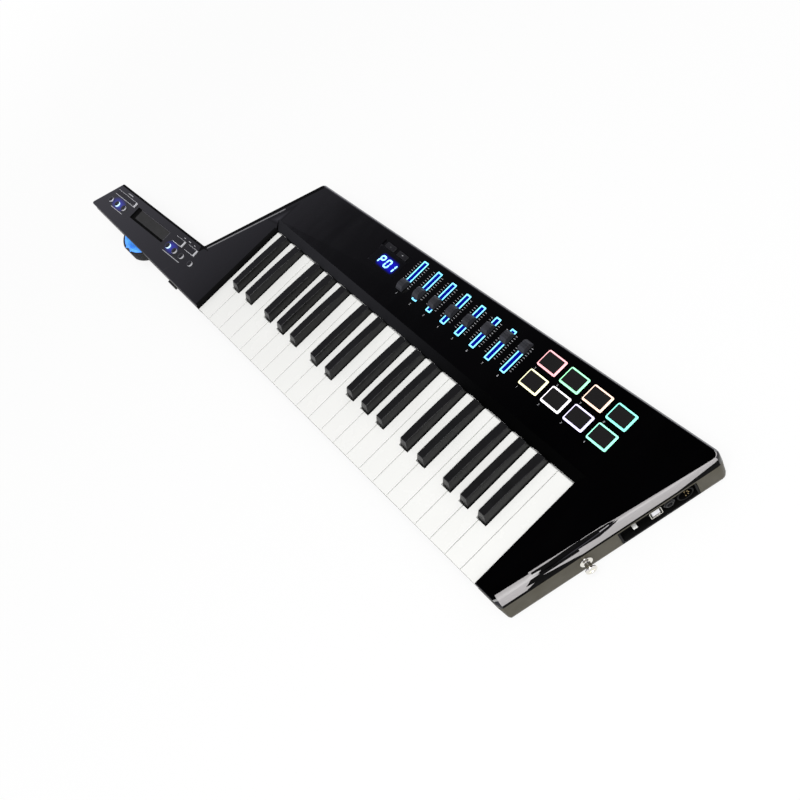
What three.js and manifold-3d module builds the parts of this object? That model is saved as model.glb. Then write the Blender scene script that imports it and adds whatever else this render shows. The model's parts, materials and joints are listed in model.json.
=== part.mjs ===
import * as THREE from "three";
import { mergeVertices } from "three/addons/utils/BufferGeometryUtils.js";
import Module from "manifold-3d";

// A shoulder-worn keyboard: a slanted body with 37 full-size keys, and a short neck on its left.
// Lengths are millimetres. x runs along the keys to the treble side, y from the key fronts to
// the rear, z up. The drawing starts at the left front corner of the first key, at the height of
// the white keys' tops, and the finished group is moved to the middle of its underside.

// Clearances
const fit = 0.3;
const overrun = 5;
const weld = 0.0001;

// Keys
const whiteCount = 22;
const whitePitch = 23.5;
const whiteGap = 1;
const whiteReach = 129.3;
const whiteDepth = 12;
const lipReach = 3.2;
const lipDepth = 3;
const keyTravel = 10;
const blackCentreShares = [0.9, 2.1, 3.855, 5, 6.145];
const whitesPerOctave = 7;
const blackStart = 45.9;
const blackWidth = 12.5;
const blackTopWidth = 9.4;
const blackRise = 10;
const blackFrontLean = 4.4;
const blackRearLean = 1.2;
const blackCrownReach = 58;
const blackRearRise = 7;
const blackTopSteps = 8;
const blackSideGap = 1;
const tailReach = 44.5;
const tailDrop = 4;
const blackTailWidth = 10;
const pivotInset = 5.8;
const pivotDrop = 9.3;
const pivotRailWidth = 5;
const pivotRailCrown = 1;
const pivotSideGap = 0.4;

// Case outline
const panelRise = 5;
const caseDrop = 38;
const seamDrop = 6;
const wall = 2.5;
const floorThickness = 3;
const neckReach = 281.5;
const neckTipWidth = 46;
const neckDrop = 27;
const notchReach = 70;
const panelDepth = 66.4;
const cheekReach = 32.5;
const frontProud = 0.5;
const tipRakeShare = 0.4228;
const rakeShare = 0.459;
const endRakeShare = 0.2375;
const neckRiseShare = 0.06;
const rearRiseShare = 0.0455;
const leastRadius = 0.4;

// Case corners, in the order of the outline
const cornerRadii = { tipFront: 3, rightFront: 4, rightRear: 8, leftRear: 8, notch: 2, tipRear: 3 };
const cornerSteps = 5;

// Shoulders of the upper case: how far each edge draws in at its start and its end, and how deep
const frontShoulder = { start: 1.5, end: 1.5, depth: 1.5 };
const rightShoulder = { start: 10, end: 3, depth: 11 };
const rearShoulder = { start: 3, end: 3, depth: 3 };
const leftShoulder = { start: 5.5, end: 5.5, depth: 8 };
const neckRearShoulder = { start: 2, end: 2, depth: 2 };
const tipShoulder = { start: 3, end: 3, depth: 3 };
const shoulderSteps = 8;

// Shallow scoop along the front half of the right shoulder, a long ball pressed into it
const scoopAlong = 74;
const scoopInset = 5.2;
const scoopRise = 2.6;
const scoopRadius = 4.5;
const scoopReach = 68;
const scoopTurnShare = 0.026;
const scoopSides = 24;
const scoopBands = 16;

// Short groove where the neck's rear edge runs on into the body
const grooveReach = 15;
const grooveWidth = 0.8;
const grooveDepth = 0.6;

// Rounded lower edges of the lower case
const bodyDraft = 1.2;
const bodyRound = 7;
const bodyRoundDepth = 8;
const neckDraft = 0.8;
const neckRound = 6;
const neckRoundDepth = 6;
const roundSteps = 3;

// Key well and the ramp behind the keys
const wellSideGap = 0.5;
const wellRearGap = 0.5;
const rampFootRise = 0.8;
const rampDepth = 10.2;
const rampLeftFlare = 9;
const rampRightFlare = 4.5;
const cheekWallDrop = 13;
const slipGap = 0.5;

// Faders
const firstFaderShare = 0.3894;
const faderPitchShare = 0.0472;
const faderSetback = 31.5;
const faderTravel = 30;
const capRestShares = [0, 0.12, 0.21, 0.35, 0.46, 0.65, 0.82, 0.95];
const slotWidth = 3.6;
const slotEndGap = 1.2;
const stemWidth = 2.6;
const stemLength = 6;
const stemDrop = 5;
const capWidth = 10.2;
const capLength = 14.3;
const capHeight = 5.6;
const capTopShare = 0.86;
const capGripWidth = 2.2;
const capGripDepth = 1.2;
const stemFootWidth = 8;
const stemFootHeight = 1.6;

// Pads
const padColumns = 4;
const padRows = 2;
const firstPadShare = 0.7881;
const padPitchShare = 0.06257;
const padWidthShare = 0.05106;
const padRowPitch = 26;
const padSetback = 37.9;
const padHoleDepth = 19.8;
const padRim = 1.9;
const padProud = 1.5;
const padRimDrop = 0.5;
const padSheetThickness = 2.5;
const padSheetMargin = 5;

// Display pocket and its two buttons
const displayShare = 0.3072;
const displaySetback = 45;
const displayWidth = 47.5;
const displayDepth = 30.6;
const displayPocket = 0.8;
const displayButtonWidth = 16;
const displayButtonDepth = 6.4;
const displayButtonSpacing = 21.5;
const displayButtonSetback = 56.2;

// Panel buttons
const buttonProud = 1;
const buttonFlange = 1.2;
const buttonFlangeThickness = 1.6;

// Neck controls
const headButtonShares = { along: 0.8288, across: 0.757, width: 0.1599 };
const headButtonDepth = 6.8;
const octaveDownShares = { along: 0.3637, across: 0.889 };
const octaveUpShares = { along: 0.2693, across: 0.93 };
const octaveWidthShare = 0.0668;
const octaveButtonDepth = 8.4;
const stripShares = { along: 0.5868, across: 0.678, width: 0.2771 };
const stripDepth = 17.2;
const stripRecess = 1.6;

// Pitch wheel
const wheelShare = 0.5808;
const wheelRadius = 35.2;
const wheelProud = 11.5;
const wheelThickness = 14.4;
const wheelRimWidth = 8;
const wheelRimSpan = 104;
const wheelWebSpan = 156;
const wheelWebInset = 1;
const wheelWebTopDrop = 3.2;
const wheelWebThickness = 8;
const wheelHubRadius = 9;
const wheelHubTopDrop = 0.6;
const wheelNotchRadius = 8;
const wheelNotchDepth = 3.4;
const wheelPinRadius = 3;
const wheelPinSides = 16;
const wheelSlotSideGap = 1;
const wheelBossRadius = 7;
const wheelSteps = 4;

// Sustain button on the neck's front side
const sustainShare = 0.2664;
const sustainWidth = 14;
const sustainHeight = 7;
const sustainDrop = 7;
const sustainProud = 2.8;
const sustainTravel = 1.5;

// Right end: recess, sockets, switch and strap pin, measured along the slanted end
const recessStart = 123.8;
const recessLength = 82.8;
const recessDrop = 8.5;
const recessHeight = 24.3;
const recessDepth = 12;
const panelBack = 3;
const panelSide = 2;
const panelBottom = 2.4;
const panelTopLip = 1.4;
const socketDrop = 19;
const socketMidRise = 0.9;
const socketDepth = 8;
const socketCollar = 1.2;
const socketCollarHeight = 1.5;
const socketBackWall = 1.6;
const usbOffset = 37.7;
const usbWidth = 12;
const usbHeight = 11;
const jackOffset = 53.7;
const jackRadius = 3.6;
const midiOffset = 70.2;
const midiRadius = 6.8;
const socketSides = 20;
const switchOffset = 18.7;
const switchTravel = 4;
const switchSlotWidth = 9;
const switchSlotHeight = 5;
const switchKnobWidth = 4.6;
const switchKnobHeight = 4.2;
const switchKnobProud = 3.4;
const switchFootWidth = 7.5;
const switchFootThickness = 1.5;
const strapAlong = 87;
const strapDrop = 19;
const strapBaseRadius = 6.5;
const strapBaseThickness = 2;
const strapNeckRadius = 3.4;
const strapHeadRadius = 6;
const strapHeadThickness = 3;
const strapReach = 12;
const strapSides = 24;

// Battery bay and its sliding door
const bayShare = 0.884;
const bayWidthShare = 0.2012;
const baySetback = 56;
const bayDepth = 31;
const bayHeight = 17;
const bayWall = 1.5;
const doorMargin = 4;
const doorThickness = 2.2;
const doorTravel = 10;
const doorGrooveDepth = 1.5;
const doorTongueThickness = 1;
const doorGripWidth = 20;
const doorGripDepth = 6;
const doorGripRecess = 0.8;

// Key frame
const frameSideGap = 4;
const frameFront = 6;
const framePlate = 3;
const frameLift = 2;
const stopRailFront = 24;
const stopRailDepth = 10;
const stopRailGap = 1.2;
const pivotRailFoot = 9;

// Posts and screw wells of the lower case
const postRadius = 5;
const padPostRadius = 3.5;
const postSides = 10;
const neckScrewShares = [
  [0.9307, 0.478],
  [0.3978, 0.522],
];
const bodyScrewShares = [
  [-0.077, 0.308],
  [0.01, 0.93],
  [0.271, 0.924],
  [0.58, 0.915],
  [0.735, 0.918],
  [1.112, 0.924],
  [1.037, 0.174],
];
const screwBossRadius = 5.5;
const screwWellRadius = 3.2;
const screwWellDepth = 14;
const screwBossHeight = 20;
const neckBossHeight = 12;

// Heights and places that follow from the sizes
const keysWidth = whiteCount * whitePitch;
const top = panelRise;
const ceiling = top - wall;
const seam = -seamDrop;
const bottom = -caseDrop;
const neckBottom = -neckDrop;
const wellLeft = -wellSideGap;
const wellRight = keysWidth + wellSideGap;
const wellRear = whiteReach + wellRearGap;
const rampRear = wellRear + rampDepth;
const neckTilt = Math.atan(neckRiseShare);
const endAngle = Math.atan(endRakeShare);
const keyRear = whiteReach + tailReach;
const pivotReach = keyRear - pivotInset;
const keySwing = keyTravel / pivotReach;

const tipFront = { x: -neckReach, y: 0, r: cornerRadii.tipFront };
const tipRear = { x: -neckReach + tipRakeShare * neckTipWidth, y: neckTipWidth, r: cornerRadii.tipRear };
const notch = {
  x: -notchReach,
  y: neckTipWidth + neckRiseShare * (-notchReach - tipRear.x),
  r: cornerRadii.notch,
};
const leftRear = {
  x: notch.x + rakeShare * (rampRear + panelDepth - notch.y),
  y: rampRear + panelDepth,
  r: cornerRadii.leftRear,
};
const rightFront = { x: keysWidth + cheekReach, y: 0, r: cornerRadii.rightFront };
const rightRearY =
  (leftRear.y + rearRiseShare * (rightFront.x - leftRear.x)) / (1 - rearRiseShare * endRakeShare);
const rightRear = {
  x: rightFront.x + endRakeShare * rightRearY,
  y: rightRearY,
  r: cornerRadii.rightRear,
};
const rearEdgeAt = (x) => leftRear.y + rearRiseShare * (x - leftRear.x);
const neckX = (share) => -neckReach * share;
const neckY = (share) => neckTipWidth * share;

// Where the panel's controls lie
const faderLowY = rampRear + faderSetback;
const padHoleWidth = keysWidth * padWidthShare;
const padPitch = keysWidth * padPitchShare;
const firstPad = { x: keysWidth * firstPadShare, y: rampRear + padSetback };
const display = { x: keysWidth * displayShare, y: rampRear + displaySetback };
const bay = {
  x: keysWidth * bayShare,
  y: rampRear + baySetback,
  width: keysWidth * bayWidthShare,
};
const stripWidth = neckReach * stripShares.width;
const wheelX = neckX(wheelShare);
const sustainX = neckX(sustainShare);
const neckScrews = neckScrewShares.map(([along, across]) => [neckX(along), neckY(across)]);
const bodyScrews = bodyScrewShares.map(([along, across]) => {
  const x = keysWidth * along;
  return [x, rearEdgeAt(x) * across];
});
const switchAlong = recessStart + switchOffset;
const usbAlong = recessStart + usbOffset;
const jackAlong = recessStart + jackOffset;
const midiAlong = recessStart + midiOffset;

const wasm = await Module();
wasm.setup();

// Finishes
const finish = (color, roughness, metalness = 0) =>
  new THREE.MeshStandardMaterial({ color, roughness, metalness });
const glossBlack = finish(0x141416, 0.12);
const satinGrey = finish(0x5c5850, 0.45);
const whitePlastic = finish(0xf4f4f0, 0.3);
const blackKeyPlastic = finish(0x1c1c1c, 0.5);
const chassisPlastic = finish(0x2a2a2c, 0.6);
const capPlastic = finish(0x303034, 0.5);
const padRubber = finish(0x3c3c42, 0.8);
const wheelPlastic = finish(0x1b1b1e, 0.5);
const socketPlastic = finish(0x101011, 0.6);
const switchPlastic = finish(0xc8c8c8, 0.3);
const strapMetal = finish(0xc9c9c6, 0.2, 1);

// A closed geometry as a solid that can be joined and cut.
function solid(geometry) {
  const bare = geometry.clone();
  bare.deleteAttribute("normal");
  bare.deleteAttribute("uv");
  const merged = mergeVertices(bare, weld);
  return new wasm.Manifold(
    new wasm.Mesh({
      numProp: 3,
      vertProperties: merged.attributes.position.array,
      triVerts: new Uint32Array(merged.index.array),
    }),
  );
}

// A solid back as a geometry for a mesh.
function geometryOf(body) {
  const mesh = body.getMesh();
  const geometry = new THREE.BufferGeometry();
  geometry.setAttribute("position", new THREE.BufferAttribute(mesh.vertProperties, 3));
  geometry.setIndex(new THREE.BufferAttribute(mesh.triVerts, 1));
  geometry.computeVertexNormals();
  return geometry;
}

const joined = (...bodies) => bodies.reduce((whole, body) => whole.add(body));
const cutFrom = (whole, ...bodies) => bodies.reduce((left, body) => left.subtract(body), whole);

// A block between two opposite corners.
function block(x0, x1, y0, y1, z0, z1) {
  const geometry = new THREE.BoxGeometry(x1 - x0, y1 - y0, z1 - z0);
  geometry.translate((x0 + x1) / 2, (y0 + y1) / 2, (z0 + z1) / 2);
  return solid(geometry);
}

// A block around a centre, turned about the vertical.
function turnedBlock(x, y, width, depth, z0, z1, turn = 0) {
  const geometry = new THREE.BoxGeometry(width, depth, z1 - z0);
  geometry.rotateZ(turn);
  geometry.translate(x, y, (z0 + z1) / 2);
  return solid(geometry);
}

// An upright cylinder.
function drum(x, y, radius, z0, z1, sides) {
  const geometry = new THREE.CylinderGeometry(radius, radius, z1 - z0, sides);
  geometry.rotateX(Math.PI / 2);
  geometry.translate(x, y, (z0 + z1) / 2);
  return solid(geometry);
}

// A plan outline pulled up from z0 to z1.
function prism(points, z0, z1) {
  const shape = new THREE.Shape(points.map(([x, y]) => new THREE.Vector2(x, y)));
  const geometry = new THREE.ExtrudeGeometry(shape, { depth: z1 - z0, bevelEnabled: false });
  geometry.translate(0, 0, z0);
  return solid(geometry);
}

// A side outline of y and z points pulled along x.
function rail(points, x0, x1) {
  const shape = new THREE.Shape(points.map(([y, z]) => new THREE.Vector2(y, z)));
  const geometry = new THREE.ExtrudeGeometry(shape, { depth: x1 - x0, bevelEnabled: false });
  const axes = new THREE.Matrix4().makeBasis(
    new THREE.Vector3(0, 1, 0),
    new THREE.Vector3(0, 0, 1),
    new THREE.Vector3(1, 0, 0),
  );
  geometry.applyMatrix4(axes);
  geometry.translate(x0, 0, 0);
  return solid(geometry);
}

// One closed ring of an outline whose edges are each drawn in by their own amount at both ends.
// Edge number i runs from corner i to the next one.
function ring(corners, insets) {
  const count = corners.length;
  const lines = corners.map((corner, i) => {
    const next = corners[(i + 1) % count];
    const along = new THREE.Vector2(next.x - corner.x, next.y - corner.y).normalize();
    const inward = new THREE.Vector2(-along.y, along.x);
    return {
      from: new THREE.Vector2(corner.x, corner.y).addScaledVector(inward, insets[i].start),
      to: new THREE.Vector2(next.x, next.y).addScaledVector(inward, insets[i].end),
      along,
    };
  });
  const meeting = (a, b) => {
    const p = new THREE.Vector2().subVectors(a.to, a.from);
    const q = new THREE.Vector2().subVectors(b.to, b.from);
    const gap = new THREE.Vector2().subVectors(b.from, a.from);
    return a.from.clone().addScaledVector(p, gap.cross(q) / p.cross(q));
  };
  const points = corners.map((corner, i) => meeting(lines[(i + count - 1) % count], lines[i]));
  return points.flatMap((point, i) => {
    const into = new THREE.Vector2().subVectors(point, points[(i + count - 1) % count]).normalize();
    const out = new THREE.Vector2().subVectors(points[(i + 1) % count], point).normalize();
    const turn = Math.atan2(into.cross(out), into.dot(out));
    const side = Math.sign(turn);
    const drawn = (insets[(i + count - 1) % count].end + insets[i].start) / 2;
    const radius = Math.max(corners[i].r - side * drawn, leastRadius);
    const start = point.clone().addScaledVector(into, -radius * Math.tan(Math.abs(turn) / 2));
    const spoke = new THREE.Vector2(into.y, -into.x).multiplyScalar(side * radius);
    const centre = start.clone().sub(spoke);
    return Array.from({ length: cornerSteps + 1 }, (_, k) =>
      spoke.clone().rotateAround(new THREE.Vector2(), (turn * k) / cornerSteps).add(centre),
    );
  });
}

// A solid skinned over rings of the same number of points, from the lowest to the highest.
function loft(levels) {
  const count = levels[0].points.length;
  const positions = levels.flatMap(({ z, points }) => points.flatMap((p) => [p.x, p.y, z]));
  const cap = (points, first, up) =>
    THREE.ShapeUtils.triangulateShape(points, []).flatMap(([a, b, c]) =>
      up ? [first + a, first + b, first + c] : [first + c, first + b, first + a],
    );
  const faces = cap(levels[0].points, 0, false);
  levels.slice(1).forEach((_, level) => {
    const low = level * count;
    const high = low + count;
    for (let i = 0; i < count; i++) {
      const j = (i + 1) % count;
      faces.push(low + i, low + j, high + j, low + i, high + j, high + i);
    }
  });
  faces.push(...cap(levels.at(-1).points, (levels.length - 1) * count, true));
  const geometry = new THREE.BufferGeometry();
  geometry.setAttribute("position", new THREE.Float32BufferAttribute(positions, 3));
  geometry.setIndex(faces);
  return solid(geometry);
}

// How far a quarter ellipse draws in at a share of its depth.
const quarter = (share) => 1 - Math.sqrt(1 - Math.min(Math.max(share, 0), 1) ** 2);

const caseCorners = [tipFront, rightFront, rightRear, leftRear, notch, tipRear];
const caseShoulders = [
  frontShoulder,
  rightShoulder,
  rearShoulder,
  leftShoulder,
  neckRearShoulder,
  tipShoulder,
];

// The upper case's full form, drawn in by a wall thickness for its hollow.
function upperForm(inset, lift) {
  const levels = Array.from({ length: shoulderSteps + 1 }, (_, k) => {
    const height = seam + (top - seam) * Math.sin((Math.PI / 2) * (k / shoulderSteps));
    const insets = caseShoulders.map(({ start, end, depth }) => {
      const draw = quarter((height - top + depth) / depth);
      return { start: inset + start * draw, end: inset + end * draw };
    });
    return { z: height - inset + lift, points: ring(caseCorners, insets) };
  });
  return loft(levels);
}

// A tub form with drafted sides and a rounded lower edge, drawn in for its hollow.
function tubForm(corners, base, draft, round, roundDepth, inset, lift) {
  const roundTop = base + roundDepth;
  const high = seam - fit;
  const insetsFor = (drawn) => corners.map(() => ({ start: drawn, end: drawn }));
  const lower = Array.from({ length: roundSteps + 1 }, (_, k) => {
    const share = Math.cos((Math.PI / 2) * (k / roundSteps));
    const drawn = draft + round * quarter(share);
    return { z: roundTop - roundDepth * share + lift, points: ring(corners, insetsFor(drawn + inset)) };
  });
  const upper = { z: high + lift, points: ring(corners, insetsFor(inset)) };
  return loft([...lower, upper]);
}

// The glossy upper shell: panel, cheeks and neck top in one piece.
function upperCase() {
  const shell = cutFrom(
    upperForm(0, 0),
    upperForm(wall, 0),
    block(
      tipFront.x + wall + overrun,
      rightFront.x - wall - overrun,
      wall,
      wall + overrun,
      seam - overrun,
      ceiling - frontShoulder.depth,
    ),
  );
  const cheekWall = (x0) =>
    joined(
      block(x0, x0 + wall, 0, wellRear + wall, seam, ceiling),
      block(x0, x0 + wall, wall + fit, wellRear + wall, -cheekWallDrop, ceiling),
    );
  const ramp = rail(
    [
      [wellRear - fit, rampFootRise - wall],
      [wellRear + wall, rampFootRise - wall],
      [rampRear + wall, ceiling + fit],
      [rampRear + wall, top - fit],
      [wellRear - fit, top - fit],
    ],
    wellLeft - rampLeftFlare - wall,
    wellRight + rampRightFlare + wall,
  );
  const rampSlope = loft([
    {
      z: rampFootRise,
      points: [
        new THREE.Vector2(wellLeft, wellRear - fit),
        new THREE.Vector2(wellRight, wellRear - fit),
        new THREE.Vector2(wellRight, wellRear),
        new THREE.Vector2(wellLeft, wellRear),
      ],
    },
    {
      z: top + (top - rampFootRise),
      points: [
        new THREE.Vector2(wellLeft, wellRear - fit),
        new THREE.Vector2(wellRight, wellRear - fit),
        new THREE.Vector2(wellRight + 2 * rampRightFlare, wellRear + 2 * rampDepth),
        new THREE.Vector2(wellLeft - 2 * rampLeftFlare, wellRear + 2 * rampDepth),
      ],
    },
  ]);
  const keyWell = block(wellLeft, wellRight, -overrun, wellRear, -cheekWallDrop - overrun, top + overrun);
  const below = ceiling - overrun;
  const above = top + overrun;
  const faderSlots = faderPlaces().map(({ x }) =>
    block(x - slotWidth / 2, x + slotWidth / 2, slotFront, slotRear, below, above),
  );
  const padHoles = padPlaces().map(({ x, y }) =>
    turnedBlock(x, y, padHoleWidth, padHoleDepth, below, above),
  );
  const pocket = turnedBlock(display.x, display.y, displayWidth, displayDepth, top - displayPocket, above);
  const buttonHoles = panelButtons.map(({ x, y, width, depth, turn }) =>
    turnedBlock(x, y, width + 2 * fit, depth + 2 * fit, below, above, turn),
  );
  const strip = turnedBlock(
    neckX(stripShares.along),
    neckY(stripShares.across),
    stripWidth,
    stripDepth,
    top - stripRecess,
    above,
    neckTilt,
  );
  return cutFrom(
    joined(shell, cheekWall(wellLeft - wall), cheekWall(wellRight), ramp),
    keyWell,
    rampSlope,
    ...faderSlots,
    ...padHoles,
    pocket,
    ...buttonHoles,
    strip,
    wheelSlot(),
    shoulderScoop(),
    notchGroove(),
  );
}

// The long ball that presses the scoop into the right shoulder.
function shoulderScoop() {
  const geometry = new THREE.SphereGeometry(1, scoopSides, scoopBands);
  geometry.scale(scoopRadius, scoopReach, scoopRadius);
  geometry.rotateZ(Math.atan(scoopTurnShare));
  geometry.translate(-scoopInset, scoopAlong, top + scoopRise);
  geometry.applyMatrix4(endTurn);
  return solid(geometry);
}

// The groove that carries the neck's rear edge on past the notch.
function notchGroove() {
  const inset = neckRearShoulder.start;
  return turnedBlock(
    notch.x + grooveReach / 2,
    notch.y + (neckRiseShare * grooveReach) / 2 - inset,
    grooveReach,
    grooveWidth,
    top - grooveDepth,
    top + overrun,
    neckTilt,
  );
}

// Faders: slots, places and the caps' rest positions.
const slotFront = faderLowY - stemLength / 2 - slotEndGap;
const slotRear = faderLowY + faderTravel + stemLength / 2 + slotEndGap;
const faderPlaces = () =>
  capRestShares.map((share, i) => ({
    x: keysWidth * (firstFaderShare + i * faderPitchShare),
    y: faderLowY + share * faderTravel,
  }));

// Pads: centres of the eight holes, front row first.
const padPlaces = () =>
  Array.from({ length: padColumns * padRows }, (_, i) => ({
    x: firstPad.x + (i % padColumns) * padPitch,
    y: firstPad.y + Math.floor(i / padColumns) * padRowPitch,
  }));

// Push buttons of the panel and the neck.
const displayButton = (name, side) => ({
  name,
  x: display.x + (side * displayButtonSpacing) / 2,
  y: rampRear + displayButtonSetback,
  width: displayButtonWidth,
  depth: displayButtonDepth,
  turn: 0,
  seat: top - displayPocket,
});
const neckButton = (name, shares, width, depth) => ({
  name,
  x: neckX(shares.along),
  y: neckY(shares.across),
  width: neckReach * width,
  depth,
  turn: neckTilt,
  seat: top,
});
const panelButtons = [
  displayButton("display_button_left", -1),
  displayButton("display_button_right", 1),
  neckButton("head_button", headButtonShares, headButtonShares.width, headButtonDepth),
  neckButton("octave_down_button", octaveDownShares, octaveWidthShare, octaveButtonDepth),
  neckButton("octave_up_button", octaveUpShares, octaveWidthShare, octaveButtonDepth),
];

// Pitch wheel: its centre, and the slot that both shells leave for it.
const wheelY = wheelRadius - wheelProud;
const wheelTop = ceiling - fit;
const wheelBottom = wheelTop - wheelThickness;
function wheelSlot() {
  const rear = wall + frontShoulder.start + fit;
  const half = Math.sqrt(wheelRadius ** 2 - (wheelY - rear) ** 2) + wheelSlotSideGap;
  return block(wheelX - half, wheelX + half, -overrun, rear, wheelBottom - fit, ceiling);
}

// A box on the slanted right end: out is measured from its face, along from its front corner.
const endTurn = new THREE.Matrix4()
  .makeTranslation(rightFront.x, 0, 0)
  .multiply(new THREE.Matrix4().makeRotationZ(-endAngle));
function endBlock(out0, out1, along0, along1, z0, z1) {
  const geometry = new THREE.BoxGeometry(out1 - out0, along1 - along0, z1 - z0);
  geometry.translate((out0 + out1) / 2, (along0 + along1) / 2, (z0 + z1) / 2);
  geometry.applyMatrix4(endTurn);
  return solid(geometry);
}

const bodyCorners = [
  { x: notch.x - rakeShare * (notch.y + frontProud), y: -frontProud, r: cornerRadii.tipFront },
  { ...rightFront, x: rightFront.x - endRakeShare * frontProud, y: -frontProud },
  rightRear,
  leftRear,
];
const neckCorners = [
  { ...tipFront, x: tipFront.x - tipRakeShare * frontProud, y: -frontProud },
  { x: 0, y: -frontProud, r: leastRadius },
  { x: 0, y: neckTipWidth - neckRiseShare * tipRear.x, r: leastRadius },
  tipRear,
];
const doorX0 = bay.x - bay.width / 2 - doorMargin;
const doorX1 = bay.x + bay.width / 2 + doorMargin;
const doorY0 = bay.y - bayDepth / 2 - doorMargin;
const doorY1 = bay.y + bayDepth / 2 + doorMargin;
const doorBottom = bottom + fit;
const doorTop = doorBottom + doorThickness;
const bayTop = bottom + floorThickness + bayHeight;
const frameBottom = bottom + floorThickness + frameLift;
const frameTop = frameBottom + framePlate;
const padSheetTop = ceiling - fit;
const padSheetBottom = padSheetTop - padSheetThickness;
const padSheet = {
  x0: firstPad.x - padHoleWidth / 2 - padSheetMargin,
  x1: firstPad.x + (padColumns - 1) * padPitch + padHoleWidth / 2 + padSheetMargin,
  y0: firstPad.y - padHoleDepth / 2 - padSheetMargin,
  y1: firstPad.y + (padRows - 1) * padRowPitch + padHoleDepth / 2 + padSheetMargin / 3,
};
const framePosts = [frameSideGap + 2 * postRadius, keysWidth / 3, (2 * keysWidth) / 3]
  .concat(keysWidth - frameSideGap - 2 * postRadius)
  .flatMap((x) => [frameFront + 2 * postRadius, pivotReach].map((y) => [x, y]));
const padPosts = [padSheet.x0 + padPostRadius, padSheet.x1 - padPostRadius].flatMap((x) =>
  [keyRear + 2 * padPostRadius, padSheet.y1 - padPostRadius].map((y) => [x, y]),
);
const sustainBottom = seam - fit - wall - sustainHeight;

// The satin lower shell: body tub, neck tub, battery bay, posts and screw wells.
function lowerCase() {
  const body = tubForm(bodyCorners, bottom, bodyDraft, bodyRound, bodyRoundDepth, 0, 0);
  const neck = tubForm(neckCorners, neckBottom, neckDraft, neckRound, neckRoundDepth, 0, 0);
  const bodyHollow = tubForm(
    bodyCorners, bottom, bodyDraft, bodyRound, bodyRoundDepth, wall, floorThickness,
  );
  const neckHollow = tubForm(
    neckCorners, neckBottom, neckDraft, neckRound, neckRoundDepth, wall, floorThickness,
  );
  const floorTop = bottom + floorThickness;
  const inBody = floorTop - fit;
  const doorPlinth = block(
    doorX0 - wall,
    doorX1 + doorTravel + wall,
    doorY0 - wall,
    doorY1 + wall,
    inBody,
    floorTop + floorThickness,
  );
  const bayBox = block(
    bay.x - bay.width / 2 - bayWall,
    bay.x + bay.width / 2 + bayWall,
    bay.y - bayDepth / 2 - bayWall,
    bay.y + bayDepth / 2 + bayWall,
    inBody,
    bayTop + bayWall,
  );
  const posts = framePosts.map(([x, y]) =>
    drum(x, y, postRadius, inBody, frameBottom - fit, postSides),
  );
  const padPillars = padPosts.map(([x, y]) =>
    drum(x, y, padPostRadius, inBody, padSheetBottom - fit, postSides),
  );
  const wheelBoss = drum(wheelX, wheelY, wheelBossRadius, neckBottom + wall, wheelBottom - fit, wheelPinSides);
  const wheelPin = drum(wheelX, wheelY, wheelPinRadius, wheelBottom - wall, wheelTop - wheelHubTopDrop, wheelPinSides);
  const bossOn = (base, height) => ([x, y]) =>
    drum(x, y, screwBossRadius, base + wall, base + height, postSides);
  const wellIn = (base, depth) => ([x, y]) =>
    drum(x, y, screwWellRadius, base - overrun, base + depth, postSides);
  const bosses = [
    ...neckScrews.map(bossOn(neckBottom, neckBossHeight)),
    ...bodyScrews.map(bossOn(bottom, screwBossHeight)),
  ];
  const wells = [
    ...neckScrews.map(wellIn(neckBottom, neckBossHeight - wall)),
    ...bodyScrews.map(wellIn(bottom, screwWellDepth)),
  ];
  const keySlip = block(
    wellLeft, wellRight, -overrun, wall + fit, -lipDepth - keyTravel - slipGap, overrun,
  );
  const recess = endBlock(
    -recessDepth - fit, overrun,
    recessStart - fit, recessStart + recessLength + fit,
    -recessDrop - recessHeight - fit, -recessDrop + fit,
  );
  const socketWindow = endBlock(
    -recessDepth - 2 * wall, -recessDepth,
    switchAlong - switchTravel / 2 - switchFootWidth / 2 - 2 * fit,
    midiAlong + midiRadius + socketBackWall + fit,
    socketZ - midiRadius - socketBackWall - fit,
    socketZ + midiRadius + socketBackWall + fit,
  );
  const recessBox = endBlock(
    -recessDepth - fit - wall, -wall,
    recessStart - fit - wall, recessStart + recessLength + fit + wall,
    -recessDrop - recessHeight - fit - wall, seam - fit,
  );
  const doorSlot = block(
    doorX0 - fit, doorX1 + doorTravel + fit, doorY0 - fit, doorY1 + fit, bottom - overrun, doorTop + fit,
  );
  const doorGroove = block(
    doorX0 - fit,
    doorX1 + doorTravel + fit,
    doorY0 - doorGrooveDepth - fit,
    doorY1 + doorGrooveDepth + fit,
    doorTop - doorTongueThickness - fit,
    doorTop + fit,
  );
  const bayHollow = block(
    bay.x - bay.width / 2, bay.x + bay.width / 2, bay.y - bayDepth / 2, bay.y + bayDepth / 2, bottom - overrun, bayTop,
  );
  const sustainHole = block(
    sustainX - sustainWidth / 2 - fit,
    sustainX + sustainWidth / 2 + fit,
    -overrun,
    wall + fit,
    sustainBottom - fit,
    sustainBottom + sustainHeight + fit,
  );
  const tub = cutFrom(joined(body, neck), bodyHollow, neckHollow);
  const within = joined(
    tub,
    doorPlinth,
    bayBox,
    ...posts,
    ...padPillars,
    wheelBoss,
    wheelPin,
    ...bosses,
    recessBox.intersect(body),
  );
  return cutFrom(
    within,
    ...wells,
    keySlip,
    recess,
    socketWindow,
    doorSlot,
    doorGroove,
    bayHollow,
    sustainHole,
    wheelSlot(),
  );
}

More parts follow.
